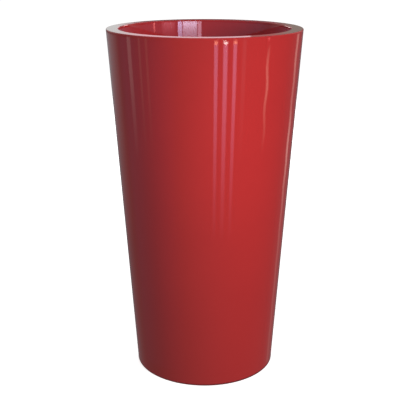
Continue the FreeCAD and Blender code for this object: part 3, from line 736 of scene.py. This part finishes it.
for side, body, node in (
    (0, "handle_right", "lift_handle_right"),
    (TURN / 2, "handle_left", "lift_handle_left"),
):
    handle_low, handle_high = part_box(node)
    add_piece(
        f"strap_{body}", lift_handle(handle_low.z, handle_high.z, side), body, node,
        handle_plastic,
    )

# %% [markdown]
# ## Tray and gauge guide
# The perforated tray and the spoked guide are plates with many holes. A grid would have to bend round
# every hole, and the solids already hold the shape. So their triangles are read into arrays, and the
# copy is merged and shaded as the other pieces are.

# %% Copy the tray and the guide from their solids
def solid_surface(node):
    """Points and triangles of a CAD node, as arrays."""
    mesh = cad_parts[node].data
    points = np.empty(len(mesh.vertices) * 3, np.float32)
    mesh.vertices.foreach_get("co", points)
    corners = np.empty(len(mesh.loops), np.int32)
    mesh.loops.foreach_get("vertex_index", corners)
    return points.reshape(-1, 3), corners.reshape(-1, 3).tolist()


for name, node, slot, finish in (
    ("perforated_tray", "reservoir_tray", "tray_plastic", tray_plastic),
    ("spoked_guide", "gauge_guide", "shaft_plastic", shaft_plastic),
):
    add_piece(name, solid_surface(node), "liner", node, finish)

# %% [markdown]
# ## Wick basket
# A slotted cup hangs in the middle of the tray and holds growing mix down in the water. Its side
# slots go through both faces of the wall, so each is a window with two runs.

# %% Turn the wick basket
basket_low, basket_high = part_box("wick_basket")
BASKET_RADIUS, BASKET_FOOT, BASKET_WALL, BASKET_FLANGE = 38 * MM, 32 * MM, 2.5 * MM, 2.5 * MM
SHAFT_STEPS = 128  # round the axis of the basket and of the filler shaft
tray_top = basket_high.z - BASKET_FLANGE
SLOT_WIDTH, SLOT_HEIGHT, SLOT_COUNT = 6 * MM, 24 * MM, 4
basket_floor = basket_low.z + BASKET_WALL
slot_top = basket_floor + SLOT_HEIGHT
basket_outer = np.interp(
    [basket_floor, slot_top], [basket_low.z, tray_top], [BASKET_FOOT, BASKET_RADIUS]
)
basket_inner = np.interp(
    [slot_top, basket_floor], [basket_floor, basket_high.z],
    [BASKET_FOOT - BASKET_WALL, BASKET_RADIUS - BASKET_WALL],
)
basket_outline = soften([
    (0, basket_low.z, 0),
    (BASKET_FOOT, basket_low.z, 1.5 * MM),
    (basket_outer[0], basket_floor, 0),
    (basket_outer[1], slot_top, 0),
    (BASKET_RADIUS, tray_top, 0.4 * MM),
    (basket_high.x, tray_top, 0.3 * MM),
    (basket_high.x, basket_high.z, 0.8 * MM),
    (BASKET_RADIUS - BASKET_WALL, basket_high.z, 0.8 * MM),
    (basket_inner[0], slot_top, 0),
    (basket_inner[1], basket_floor, 0),
    (0, basket_floor, 0),
])
outer_run, inner_run = (
    tuple(row_of(basket_outline, *place) for place in zip(radii, heights))
    for radii, heights in (
        (basket_outer, (basket_floor, slot_top)),
        (basket_inner, (slot_top, basket_floor)),
    )
)
basket_half = np.arcsin(SLOT_WIDTH / 2 / BASKET_FOOT)
basket_slots = [
    ([outer_run, inner_run], middle - basket_half, middle + basket_half)
    for middle in np.arange(SLOT_COUNT) * TURN / SLOT_COUNT
]
add_piece(
    "slotted_basket", lathe(basket_outline, SHAFT_STEPS, basket_slots), "liner", "wick_basket",
    shaft_plastic,
)

# %% [markdown]
# ## Filler shaft and gauge
# Water is poured into a funnel, runs down a shaft beside the liner's wall, and leaves through notches
# at its foot. A foam float in the shaft carries a rod, and the rod's red knob rises in a clear cap.
# All of them are turned about the shaft's own axis.

# %% Turn the filler shaft
shaft_low, shaft_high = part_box("water_shaft")
guide_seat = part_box("gauge_guide")[0].z
shaft_axis = (0, (shaft_low.y + shaft_high.y) / 2)
SHAFT_BORE, SHAFT_RADIUS, SHAFT_WALL = 15 * MM, 17 * MM, 2 * MM
SEAT_RADIUS = 18 * MM
NOTCH_WIDTH, NOTCH_HEIGHT, NOTCH_COUNT = 8 * MM, 12 * MM, 4
notch_top = shaft_low.z + NOTCH_HEIGHT
flare_foot = guide_seat - (SEAT_RADIUS - SHAFT_BORE) - SHAFT_WALL
shaft_outline = soften([
    (SHAFT_BORE, notch_top, 0),
    (SHAFT_BORE, shaft_low.z, 0),
    (SHAFT_RADIUS, shaft_low.z, 0),
    (SHAFT_RADIUS, notch_top, 0),
    (SHAFT_RADIUS, flare_foot, 2 * MM),
    (SEAT_RADIUS + SHAFT_WALL, guide_seat, 1 * MM),
    (shaft_high.x, shaft_high.z, 0.8 * MM),
    (shaft_high.x - SHAFT_WALL, shaft_high.z, 0.8 * MM),
    (SEAT_RADIUS, guide_seat, 0),
    (SHAFT_BORE, guide_seat, 0),
])
notch_half = np.arcsin(NOTCH_WIDTH / 2 / SHAFT_RADIUS)
shaft_notches = [
    ([(0, row_of(shaft_outline, SHAFT_RADIUS, notch_top))], middle - notch_half, middle + notch_half)
    for middle in np.arange(NOTCH_COUNT) * TURN / NOTCH_COUNT
]
add_piece(
    "filler_shaft", lathe(shaft_outline, SHAFT_STEPS, shaft_notches, shaft_axis), "liner", "water_shaft",
    shaft_plastic,
)

# %% Make the gauge's finishes
def clear_polycarbonate():
    """Polished mould, clear polycarbonate: see-through with a cool edge and faint flow lines."""
    material, tree, place = start_finish("polycarbonate_moulded_clear")
    flow_width, flow_height = 6 * MM, 0.02 * MM
    flow = add_node(tree, "ShaderNodeTexNoise", {"Vector": place}, {"Scale": 1 / flow_width, "Detail": 1.0})
    lines = add_node(
        tree, "ShaderNodeBump", {"Height": flow.outputs[0]}, {"Strength": 1.0, "Distance": flow_height}
    )
    polish = add_node(
        tree, "ShaderNodeMapRange", {"Value": flow.outputs[0]},
        {"From Min": NOISE_LOW, "From Max": NOISE_HIGH, "To Min": 0.02, "To Max": 0.07},
    )
    shader = add_node(
        tree, "ShaderNodeBsdfPrincipled",
        {"Roughness": polish.outputs[0], "Normal": lines.outputs[0]},
        {"Base Color": linear("#F4F8FA"), "IOR": 1.58, "Transmission Weight": 1.0},
    )
    return end_finish(material, shader)


def bead_foam():
    """Moulded bead foam: white beads about 4 mm across, pressed together, with painted shade at their
    edges.
    """
    material, tree, place = start_finish("polystyrene_bead_foam_moulded")
    bead_width, bead_height = 4 * MM, 0.25 * MM
    beads = add_node(tree, "ShaderNodeTexVoronoi", {"Vector": place}, {"Scale": 1 / bead_width})
    domes = add_node(
        tree, "ShaderNodeBump", {"Height": beads.outputs["Distance"]},
        {"Strength": 1.0, "Distance": bead_height}, invert=True,
    )
    # Painted shade: the colour darkens from each bead's middle to its edge, where the beads meet.
    return end_two_colours(
        material, beads.outputs["Distance"], "#F3F1EA", "#D3D0C6", {"Normal": domes.outputs[0]},
        {"Roughness": 0.8, "IOR": 1.5},
    )


signal_plastic = moulded_plastic(
    "signal_red_abs_moulded", "#C3221A", "#D42C20", grain_width=1.2 * MM, shine=0.25
)
print("made the gauge's finishes")

# %% Turn the gauge
window_low, window_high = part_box("gauge_window")
rod_low, rod_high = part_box("gauge_rod")
float_low, float_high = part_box("level_float")
WINDOW_BORE, WINDOW_WALL = 6.5 * MM, 1.5 * MM
WINDOW_DOME = 3 * MM
ROD_RADIUS = 2.5 * MM
KNOB_HEIGHT = 9 * MM
FLOAT_SOCKET_RADIUS = 2.8 * MM
FLOAT_ROUND = 4 * MM
window_outline = soften([
    (WINDOW_BORE, window_low.z, 0.2 * MM),
    (window_high.x, window_low.z, 0.2 * MM),
    (window_high.x, window_high.z, WINDOW_DOME),
    (0, window_high.z, 0),
    (0, window_high.z - WINDOW_WALL, 0),
    (WINDOW_BORE, window_high.z - WINDOW_WALL, WINDOW_DOME - WINDOW_WALL),
])
knob_foot = rod_high.z - KNOB_HEIGHT
rod_outline = soften([
    (0, rod_low.z, 0),
    (ROD_RADIUS, rod_low.z, 0.3 * MM),
    (ROD_RADIUS, knob_foot, 0),
    (rod_high.x, knob_foot, 0.4 * MM),
    (rod_high.x, rod_high.z, rod_high.x / 2),
    (0, rod_high.z, 0),
])
float_outline = soften([
    (0, float_low.z, 0),
    (float_high.x, float_low.z, FLOAT_ROUND),
    (float_high.x, float_high.z, FLOAT_ROUND),
    (FLOAT_SOCKET_RADIUS, float_high.z, 0.3 * MM),
    (FLOAT_SOCKET_RADIUS, rod_low.z, 0),
    (0, rod_low.z, 0),
])
for name, outline, body, node, slot, finish in (
    ("clear_window", window_outline, "liner", "gauge_window", "clear_plastic", clear_polycarbonate()),
    ("red_rod", rod_outline, "float", "gauge_rod", "signal_plastic", signal_plastic),
    ("foam_float", float_outline, "float", "level_float", "float_foam", bead_foam()),
):
    add_piece(name, lathe(outline, SMALL_STEPS, centre=shaft_axis), body, node, finish)

# %% [markdown]
# ## Floor and light
# The photograph shows the pot on plain white, so the floor is a pale sheet that only the camera sees.
# It has a painted shadow under the foot, where the pads leave a gap that little light gets into.
# Light for colour and light for gloss are kept apart. A window light from the right, three small
# reflectors, a light behind the pot and an even room light give the red its shade, and gloss doesn't
# see the lamps. A narrow lamp straight above lights the liner for those who look in. Its cone stays
# clear of the red.

# %% Lay the floor
scene = bpy.context.scene
scene.view_settings.view_transform = "Standard"
scene.view_settings.look = "None"

FLOOR_SIZE = 400.0
floor_mesh = bpy.data.meshes.new("floor")
half_floor = FLOOR_SIZE / 2
floor_corners = [(x, y, 0) for x, y in ((-1, -1), (1, -1), (1, 1), (-1, 1))]
floor_mesh.from_pydata(np.array(floor_corners) * half_floor, [], [(0, 1, 2, 3)])
floor = bpy.data.objects.new("floor", floor_mesh)
scene.collection.objects.link(floor)
floor.visible_glossy = False
floor.visible_diffuse = False
print("floor laid,", FLOOR_SIZE, "m wide")

# %% Give the floor its paper and a painted shadow under the foot
# The gap under the foot holds a painted shadow: a dim dark red glow, as if only light that the red foot
# throws back got in.
CONTACT_FADE = 1 * MM
PAPER_WHITE = (0.8, 0.8, 0.8, 1)
paper, paper_tree, paper_place = start_finish("white_paper_sweep")
from_axis = add_node(paper_tree, "ShaderNodeVectorMath", {0: paper_place}, operation="LENGTH")
is_clear = add_node(
    paper_tree, "ShaderNodeMapRange", {"Value": from_axis.outputs["Value"]},
    {"From Min": BASE_RADIUS - CONTACT_FADE / 2, "From Max": BASE_RADIUS + CONTACT_FADE / 2},
)
# Painted shadow: a dark red glow takes the place of the white paper under the foot.
painted_contact_shadow = add_node(paper_tree, "ShaderNodeEmission", None, {"Color": linear("#5A2022")})
paper_glow = add_node(paper_tree, "ShaderNodeEmission", None, {"Strength": 0.8})
paper_face = add_node(paper_tree, "ShaderNodeBsdfDiffuse", None, {"Color": PAPER_WHITE})
paper_both = add_node(
    paper_tree, "ShaderNodeAddShader", {0: paper_glow.outputs[0], 1: paper_face.outputs[0]}
)
paper_front = add_node(
    paper_tree, "ShaderNodeMixShader",
    {0: is_clear.outputs[0], 1: painted_contact_shadow.outputs[0], 2: paper_both.outputs[0]},
)
paper_side = add_node(paper_tree, "ShaderNodeNewGeometry").outputs["Backfacing"]
paper_back = add_node(paper_tree, "ShaderNodeBsdfTransparent")
paper_shader = add_node(
    paper_tree, "ShaderNodeMixShader", {0: paper_side, 1: paper_front.outputs[0], 2: paper_back.outputs[0]}
)
floor_mesh.materials.append(end_finish(paper, paper_shader))
print("dark under the foot to a radius of", BASE_RADIUS, "m")

# %% Hang the lights
def lamp_angles(ray):
    """Euler angles that turn a lamp, which shines down its own -Z, along a ray."""
    flat = np.hypot(ray[0], ray[1])
    return (np.arctan2(flat, -ray[2]), 0, np.arctan2(ray[1], ray[0]) - np.pi / 2)


def add_light(name, turn, distance, height, size, power, aim):
    """An area light on a circle about the pot, at a turn from the camera's side towards +X."""
    data = bpy.data.lights.new(name, "AREA")
    data.shape = "SQUARE"
    data.size = size
    data.energy = power
    light = bpy.data.objects.new(name, data)
    place = np.array([distance * np.sin(turn), -distance * np.cos(turn), height])
    light.location = place
    light.rotation_euler = lamp_angles(np.asarray(aim) - place)
    light.visible_glossy = False
    light.visible_camera = False
    scene.collection.objects.link(light)
    print(f"{name}: {power} W at {np.round(place, 2)}")


# Turns are in degrees, powers in watts, and the rest in metres. Each light aims at the pot's axis.
for name, turn, distance, height, size, power, aim_height in (
    ("window_light", 45, 3.0, 1.35, 1.0, 38.0, 0.5),
    ("reflector", 13, 0.55, 0.556, 0.3, 0.39, 0.5),
    ("left_reflector", -32, 0.75, 0.66, 0.3, 0.06, 0.6),
    ("side_reflector", 32, 0.75, 0.72, 0.3, 0.18, 0.6),
    ("back_light", 180, 3.0, 1.6, 1.5, 40.0, 0.4),
):
    add_light(name, np.radians(turn), distance, height, size, power, (0, 0, aim_height))

# %% Hang a lamp over the liner
WELL_LAMP_HEIGHT = 3.0
WELL_LAMP_REACH = 150 * MM  # the radius that it lights at the liner's mouth, well inside the rim
well_data = bpy.data.lights.new("well_lamp", "SPOT")
well_data.energy = 150.0
well_data.spot_size = 2 * np.arctan(WELL_LAMP_REACH / (WELL_LAMP_HEIGHT - liner_high.z))
well_data.spot_blend = 0.4
well_data.shadow_soft_size = 40 * MM
well_lamp = bpy.data.objects.new("well_lamp", well_data)
well_lamp.location = (0, 0, WELL_LAMP_HEIGHT)
scene.collection.objects.link(well_lamp)
print("well_lamp: cone of", round(np.degrees(well_data.spot_size), 1), "degrees")

# %% Fill the room with even light
room = bpy.data.worlds.new("studio")
room.use_nodes = True
room.node_tree.nodes.clear()
scene.world = room
room_tree = room.node_tree
heading = add_node(room_tree, "ShaderNodeTexCoord").outputs["Generated"]
way = add_node(room_tree, "ShaderNodeSeparateXYZ", {0: heading}).outputs
rise = way["Z"]
depth = add_node(
    room_tree, "ShaderNodeMapRange", {"Value": way["Y"]}, {"From Min": -1.0, "From Max": 1.0}
).outputs[0]
fill = add_node(
    room_tree, "ShaderNodeMapRange", {"Value": rise},
    {"From Min": -0.6, "From Max": 0.6, "To Min": 0.12, "To Max": 0.32},
)
print("room light set, stronger from above")


# %% Paint the room that gloss sees
def set_stops(ramp, stops):
    """Gives a colour ramp its (position, colour) stops, from the lowest to the highest."""
    elements = ramp.color_ramp.elements
    for _ in stops[2:]:
        elements.new(1.0)
    for element, (position, colour) in zip(elements, stops):
        element.position, element.color = position, linear(colour)


# The floor dims towards the back. The walls are pale but for a dark place straight behind the pot, and
# the ceiling is light.
floor_tone = add_node(room_tree, "ShaderNodeValToRGB", {"Fac": depth})
wall_tone = add_node(room_tree, "ShaderNodeValToRGB", {"Fac": depth})
set_stops(floor_tone, (
    (0.0, "#B4AFB1"), (0.25, "#A4A0A1"), (0.5, "#918E8F"), (0.7, "#7B7779"), (1.0, "#757173"),
))
set_stops(wall_tone, (
    (0.0, "#AAA5C2"), (0.45, "#AAA5C2"), (0.6, "#8F8794"),
    (0.78, "#D6C6C4"), (0.92, "#D6C6C4"), (0.98, "#5E5156"),
))
is_up = add_node(
    room_tree, "ShaderNodeMapRange", {"Value": rise}, {"From Min": -0.02, "From Max": 0.03}
)
sides = add_node(
    room_tree, "ShaderNodeMix",
    {"Factor": is_up.outputs[0], "A": floor_tone.outputs[0], "B": wall_tone.outputs[0]}, data_type="RGBA",
)
is_ceiling = add_node(
    room_tree, "ShaderNodeMapRange", {"Value": rise}, {"From Min": 0.35, "From Max": 0.6}
)
gloss = add_node(
    room_tree, "ShaderNodeMix", {"Factor": is_ceiling.outputs[0], "A": sides.outputs["Result"]},
    {"B": linear("#BCB4B4")}, data_type="RGBA",
)
print("painted a floor, walls and a ceiling")

# %% Show each kind of ray its own room
ROOM_WHITE = 1.0
ray_kind = add_node(room_tree, "ShaderNodeLightPath").outputs
lit = add_node(
    room_tree, "ShaderNodeMix",
    {"Factor": ray_kind["Is Glossy Ray"], "A": fill.outputs[0], "B": gloss.outputs["Result"]},
    data_type="RGBA",
)
seen = add_node(
    room_tree, "ShaderNodeMix", {"Factor": ray_kind["Is Camera Ray"], "A": lit.outputs["Result"]},
    {"B": (ROOM_WHITE, ROOM_WHITE, ROOM_WHITE, 1)}, data_type="RGBA",
)
sky = add_node(room_tree, "ShaderNodeBackground", {"Color": seen.outputs["Result"]})
add_node(room_tree, "ShaderNodeOutputWorld", {"Surface": sky.outputs[0]})
print("the camera sees white, gloss sees the painted room, and colour gets the even light")

# %% [markdown]
# ## The room in the gloss
# A polished pot shows the room it stands in, and that is most of what tells the eye that it is
# lacquer. Each thing that the photograph shows in the gloss is a card that only gloss can see. To set
# one, lines of sight are mirrored in a patch of the pot and carried on to the floor or to a wall of the
# room. The card is drawn where they land, so the camera finds it again in that patch. From other sides
# the same cards still read as a room.

# %% Mirror lines of sight
def mirrored(points, normals):
    """Where the camera looks by way of a mirror: d - 2 (d . n) n, for the line of sight d."""
    sight = points - CAMERA_PLACE
    sight = sight / np.linalg.norm(sight, axis=-1, keepdims=True)
    return sight - 2 * (sight * normals).sum(-1, keepdims=True) * normals


def carried(points, rays, axis, level):
    """Points carried to a plane: point + ray (level - the point's place) / the ray's step, on one axis."""
    return points + rays * ((level - points[..., axis]) / rays[..., axis])[..., None]


def wall_grid(turns, heights):
    """Points and normals of the outer wall: (radius sin a, -radius cos a, height) at a turn a.

    Turns run from the camera's side towards +X. The normal points outwards, tipped down by the lean.
    """
    turns, heights = np.broadcast_arrays(turns, heights)
    lean = np.full(turns.shape, np.arctan(taper))
    radius = BASE_RADIUS + taper * (heights - foot_gap)
    points = np.stack([radius * np.sin(turns), -radius * np.cos(turns), heights], axis=-1)
    flat = np.cos(lean)
    normals = np.stack([np.sin(turns) * flat, -np.cos(turns) * flat, -np.sin(lean)], axis=-1)
    return points, normals


wall_middle = wall_grid(np.zeros(1), np.full(1, pot_height / 2))
print("the camera looks by way of the wall's middle along", mirrored(*wall_middle)[0].round(2))


# %% Hang a card
def add_card(name, grid, cover, colour, strength, is_one_sided=False):
    """A glowing sheet that only gloss sees. Its cover fades it out towards what lies behind."""
    rows, columns = grid.shape[:2]
    here = np.arange(rows * columns).reshape(rows, columns)
    quads = np.stack([here[:-1, :-1], here[1:, :-1], here[1:, 1:], here[:-1, 1:]], axis=-1)
    mesh = bpy.data.meshes.new(name)
    mesh.from_pydata(grid.reshape(-1, 3), [], quads.reshape(-1, 4).tolist())
    kept = mesh.attributes.new("cover", "FLOAT", "POINT")
    kept.data.foreach_set("value", np.broadcast_to(cover, (rows, columns)).ravel().astype(np.float32))
    material, tree, _ = start_finish(f"{name}_glow")
    share = add_node(tree, "ShaderNodeAttribute", attribute_name="cover").outputs["Fac"]
    if is_one_sided:
        back = add_node(tree, "ShaderNodeNewGeometry").outputs["Backfacing"]
        share = add_node(
            tree, "ShaderNodeMath", {0: share, 1: back}, operation="SUBTRACT", use_clamp=True
        ).outputs[0]
    clear = add_node(tree, "ShaderNodeBsdfTransparent")
    glow = add_node(tree, "ShaderNodeEmission", None, {"Color": linear(colour), "Strength": strength})
    both = add_node(tree, "ShaderNodeMixShader", {0: share, 1: clear.outputs[0], 2: glow.outputs[0]})
    mesh.materials.append(end_finish(material, both))
    material.cycles.emission_sampling = "NONE"
    card = bpy.data.objects.new(name, mesh)
    for kind in ("camera", "diffuse", "transmission", "volume_scatter", "shadow"):
        setattr(card, f"visible_{kind}", False)
    scene.collection.objects.link(card)
    print(f"{name}: {rows} by {columns}, from {grid.min((0, 1)).round(2)} to {grid.max((0, 1)).round(2)}")


# %% [markdown]
# ## What the wall shows
# Three lamp tubes run down the wall, with a hot spot at the end of each. Faint lamps stand on both sides
# of them. Further right come a curtain's edge and a doorway, and further left a pale sky. A streak down
# the wall is a strip on the floor, and its cover up the wall says where it is strong and where it fades.

# %% Hang the three tubes
CARD_LEVEL = 2 * MM
CARD_STEPS, STREAK_STEPS = 9, 40
WANDER_LENGTH = 90 * MM
SOFT_SHARE, CRISP_SHARE = 0.4, 0.1  # how much of a card's half width its cover fades over
ACROSS = np.sin(np.linspace(-TURN / 4, TURN / 4, CARD_STEPS))
SOFT_SIDES = np.clip((1 - np.abs(ACROSS)) / SOFT_SHARE, 0, 1)
CRISP_SIDES = np.clip((1 - np.abs(ACROSS)) / CRISP_SHARE, 0, 1)


def add_streak(name, turn, half_width, stops, colour, strength, wander=0.0, level=CARD_LEVEL):
    """A card seen as a streak down the wall. Its stops are (height, cover) pairs from foot to top."""
    stops = np.asarray(stops)
    heights = np.linspace(stops[0, 0], stops[-1, 0], STREAK_STEPS)[:, None]
    sway = wander * np.sin(TURN * heights / WANDER_LENGTH)
    points, normals = wall_grid(np.radians(turn + sway + half_width * ACROSS), heights)
    grid = carried(points, mirrored(points, normals), 2, level)
    add_card(name, grid, np.interp(heights, stops[:, 0], stops[:, 1]) * SOFT_SIDES, colour, strength)


TUBE_STOPS = [(0.34, 0.0), (0.43, 0.14), (0.52, 0.38), (0.61, 0.67), (0.70, 1.0), (0.738, 1.0)]
TUBE_END_STOPS = [(0.7385, 1.0), (0.7420, 1.0), (0.7445, 0.35)]
TUBE_BAR_STOPS = [(0.7393, 1.0), (0.7427, 1.0)]
for name, turn, half_width, strength, end_stops, end_colour, end_strength in (
    ("tube_left", 5.95, 1.2, 3.4, TUBE_END_STOPS, "#FFB096", 13.0),
    ("tube_middle", 11.0, 1.45, 3.6, TUBE_BAR_STOPS, "#FFFAF6", 24.0),
    ("tube_right", 16.25, 1.25, 3.4, TUBE_END_STOPS, "#FFB096", 13.0),
):
    add_streak(name, turn, half_width, TUBE_STOPS, "#FBD5FF", strength)
    add_streak(f"{name}_end", turn, half_width, end_stops, end_colour, end_strength)

# %% Hang the curtain, the doorway, the faint lamps and the sky
CURTAIN_STOPS = [(0.52, 0.0), (0.60, 0.55), (0.65, 1.0), (0.68, 1.0), (0.72, 0.5), (0.734, 0.0)]
CURTAIN_END_STOPS = [(0.7428, 1.0), (0.7470, 1.0)]
add_streak("curtain_edge", 37.0, 1.1, CURTAIN_STOPS, "#FFDCC8", 2.8, wander=0.5)
add_streak("curtain_end", 36.6, 0.9, CURTAIN_END_STOPS, "#FF8088", 7.0)
DOOR_STOPS = [
    (0.01, 0.12), (0.3, 0.22), (0.42, 0.45), (0.5, 1.0), (0.54, 1.0),
    (0.6, 0.5), (0.64, 0.5), (0.69, 0.75), (0.746, 0.75),
]
add_streak("doorway_edge", 65.0, 2.1, DOOR_STOPS, "#DCC3B9", 1.7, wander=0.4)
DARK_STOPS = [(0.01, 0.2), (0.4, 0.3), (0.55, 0.5), (0.64, 0.9), (0.746, 1.0)]
add_streak("doorway_dark", 73.5, 5.0, DARK_STOPS, "#646A6E", 1.0)
FAINT_STOPS = [(0.50, 0.0), (0.60, 0.4), (0.66, 0.8), (0.74, 1.0), (0.746, 1.0)]
for name, turn, half_width, strength in (
    ("lamp_far_left", -45.9, 1.9, 1.15),
    ("lamp_mid_left", -37.9, 0.9, 0.8),
    ("lamp_left", -33.0, 0.9, 0.8),
    ("lamp_right", 21.5, 1.4, 0.85),
):
    add_streak(name, turn, half_width, FAINT_STOPS, "#F2E6EA", strength)
SIDE_STOPS = [(0.30, 0.0), (0.5, 0.3), (0.62, 0.7), (0.70, 1.0), (0.746, 1.0)]
add_streak("side_glow", -69.3, 13.7, SIDE_STOPS, "#A2A5A8", 1.0)
SKY_STOPS = [(0.03, 0.1), (0.2, 0.2), (0.45, 0.32), (0.62, 0.45), (0.746, 0.5)]
add_streak("sky_left", -36.0, 22.0, SKY_STOPS, "#A0AAD4", 1.0, level=CARD_LEVEL / 2)

# %% [markdown]
# ## For those who walk round the pot
# The photograph says nothing about the back, so two pale strips on the floor give the gloss there
# something to show. From behind, the tubes' cards would lie along the pot's edge and eat into it. A grey
# screen hides them from there. It stands edge on to the camera, so the photograph's view misses it.

# %% Lay two strips behind the pot
STRIP_HALF_WIDTH = 1.2  # degrees about the pot's axis
STRIP_NEAR, STRIP_FAR, STRIP_STEPS = 0.25, 5.0, 20
STRIP_STOPS = np.array([(STRIP_NEAR, 0.0), (0.6, 0.8), (3.0, 1.0)])
reach = np.linspace(STRIP_NEAR, STRIP_FAR, STRIP_STEPS)[:, None]
strip_cover = np.interp(reach, STRIP_STOPS[:, 0], STRIP_STOPS[:, 1]) * SOFT_SIDES
for name, turn in (("strip_back_left", 186), ("strip_back_right", 174)):
    bearing = np.radians(turn + STRIP_HALF_WIDTH * ACROSS)
    x, y = reach * np.sin(bearing), -reach * np.cos(bearing)
    strip = np.stack([x, y, np.full(x.shape, CARD_LEVEL)], axis=-1)
    add_card(name, strip, strip_cover, "#E4E8FF", 3.0)

# %% Stand a screen edge on to the camera
SCREEN_REACH = (-0.3, -4.0)
SCREEN_HEIGHT = 0.7
screen_y, screen_z = np.meshgrid(SCREEN_REACH, (0.0, SCREEN_HEIGHT))
screen = np.stack([np.zeros(screen_y.shape), screen_y, screen_z], axis=-1)
add_card("tube_screen", screen, np.ones(screen_y.shape), "#A6A2A3", 1.0)

# %% [markdown]
# ## What the rim and the mouth show
# The flat rim mirrors the far wall, from bright at the left to grey at the right. Behind the camera is a
# window, and the far side of the sleeve mirrors it pane by pane. The wall's parts are upright sheets,
# one a little behind the other. The panes are found by mirroring, as the streaks were.

# %% Hang the far wall
FAR_WALL = 4.0
WALL_GAP = 0.02


def upright_card(name, x_stops, z_stops, y, colour, strength):
    """A sheet across the room. Its stops are (place, cover) pairs along it and up it."""
    x_stops, z_stops = np.asarray(x_stops), np.asarray(z_stops)
    x, z = np.meshgrid(x_stops[:, 0], z_stops[:, 0])
    grid = np.stack([x, np.full(x.shape, y), z], axis=-1)
    add_card(name, grid, z_stops[:, 1:] * x_stops[:, 1], colour, strength)


RIM_RISE = [(1.10, 0.0), (1.13, 1.0), (1.60, 1.0)]
RIM_RISE_ENDS = [(1.06, 0.0), (1.08, 1.0), (1.60, 1.0)]
for layer, (name, x_stops, z_stops, colour, strength) in enumerate((
    ("far_wall_bright", [(-1.6, 1.0), (-0.62, 1.0), (-0.42, 0.0)], RIM_RISE_ENDS, "#E5FAF8", 1.0),
    ("far_wall_grey", [(0.46, 0.0), (0.60, 1.0), (1.0, 1.0)], RIM_RISE_ENDS, "#7E988F", 1.0),
    ("far_wall_tan", [(0.31, 0.0), (0.325, 1.0), (1.0, 1.0)], RIM_RISE, "#AA7977", 1.0),
    ("far_wall", [(-1.6, 1.0), (0.0, 1.0), (0.5, 1.0)], RIM_RISE, "#FED8E1", 1.1),
)):
    upright_card(name, x_stops, z_stops, FAR_WALL + layer * WALL_GAP, colour, strength)

# %% Hang the window
NEAR_WALL = -5.0


def mouth_grid(turns, heights):
    """Points and normals of the sleeve's far side: (radius sin a, radius cos a, height) at a turn a.

    Turns run from the far side towards +X. The normal points at the axis, tipped up by the draft.
    """
    turns, heights = np.broadcast_arrays(turns, heights)
    tip = np.full(turns.shape, np.arctan(SLEEVE_DRAFT / RECESS_DEPTH))
    radius = sleeve_inside(heights)
    points = np.stack([radius * np.sin(turns), radius * np.cos(turns), heights], axis=-1)
    flat = np.cos(tip)
    normals = np.stack([-np.sin(turns) * flat, -np.cos(turns) * flat, np.sin(tip)], axis=-1)
    return points, normals


PANE_HEIGHTS = np.linspace(0.70, 0.748, CARD_STEPS)[:, None]
PANE_RISE = np.interp(PANE_HEIGHTS, (0.70, 0.72, 0.728, 0.735, 0.742), (0.0, 0.1, 0.3, 0.62, 1.0))
for name, first, last, sides, fade, colour, strength in (
    ("window_left", -20.35, -16.85, CRISP_SIDES, 0.55, "#CBD2FF", 14.6),
    ("window_middle", -16.75, -5.3, CRISP_SIDES, 0.72, "#E0DCFC", 15.2),
    ("window_right", -5.2, -2.3, CRISP_SIDES, 0.2, "#EACBE6", 8.4),
    ("window_glow", -33.6, -21.6, SOFT_SIDES, 1.0, "#FFAAC0", 3.8),
    ("window_side", -40.3, -38.9, CRISP_SIDES, 0.8, "#FF918E", 9.4),
):
    pane = np.radians((first + last) / 2 + (last - first) / 2 * ACROSS)
    points, normals = mouth_grid(pane, PANE_HEIGHTS)
    grid = carried(points, mirrored(points, normals), 1, NEAR_WALL)
    add_card(name, grid, (1 - fade * (1 - PANE_RISE)) * sides, colour, strength)

# %% [markdown]
# ## Glints on the rim
# Two short glints sit on the rounded inner edge of the rim. A card on a far wall would do for the
# photograph, but from other sides the flat rim would mirror it and turn white. So each lamp hangs 20 mm
# from the stretch of edge that shows it, and glows only on the side that faces that stretch.

# %% Hang two small lamps beside the rim's inner edge
GLINT_REACH = 20 * MM


def edge_grid(turns, tips):
    """Points and normals of the mouth's rounded edge: the round's middle circle + round times normal.

    The normal points at the axis, tipped up by an angle: cos(tip) inwards + sin(tip) upright.
    """
    turns, tips = np.broadcast_arrays(turns, tips)
    inwards = np.stack([-np.sin(turns), -np.cos(turns), 0 * turns], axis=-1)
    upright = np.array([0, 0, 1])
    normals = inwards * np.cos(tips)[..., None] + upright * np.sin(tips)[..., None]
    middle = upright * (pot_height - RIM_ROUND) - inwards * (mouth_radius + RIM_ROUND)
    return middle + RIM_ROUND * normals, normals


for name, first, last, low, high, colour, strength in (
    ("glint_left", -75.0, -68.5, 12.0, 34.0, "#FFCDD0", 9.0),
    ("glint_right", 74.0, 88.0, 8.0, 24.0, "#FFF0EC", 4.0),
):
    tips = np.radians(np.linspace(low, high, CARD_STEPS))[:, None]
    points, normals = edge_grid(np.radians(np.linspace(first, last, CARD_STEPS)), tips)
    glint = points + GLINT_REACH * mirrored(points, normals)
    add_card(name, glint, np.ones(glint.shape[:2]), colour, strength, is_one_sided=True)
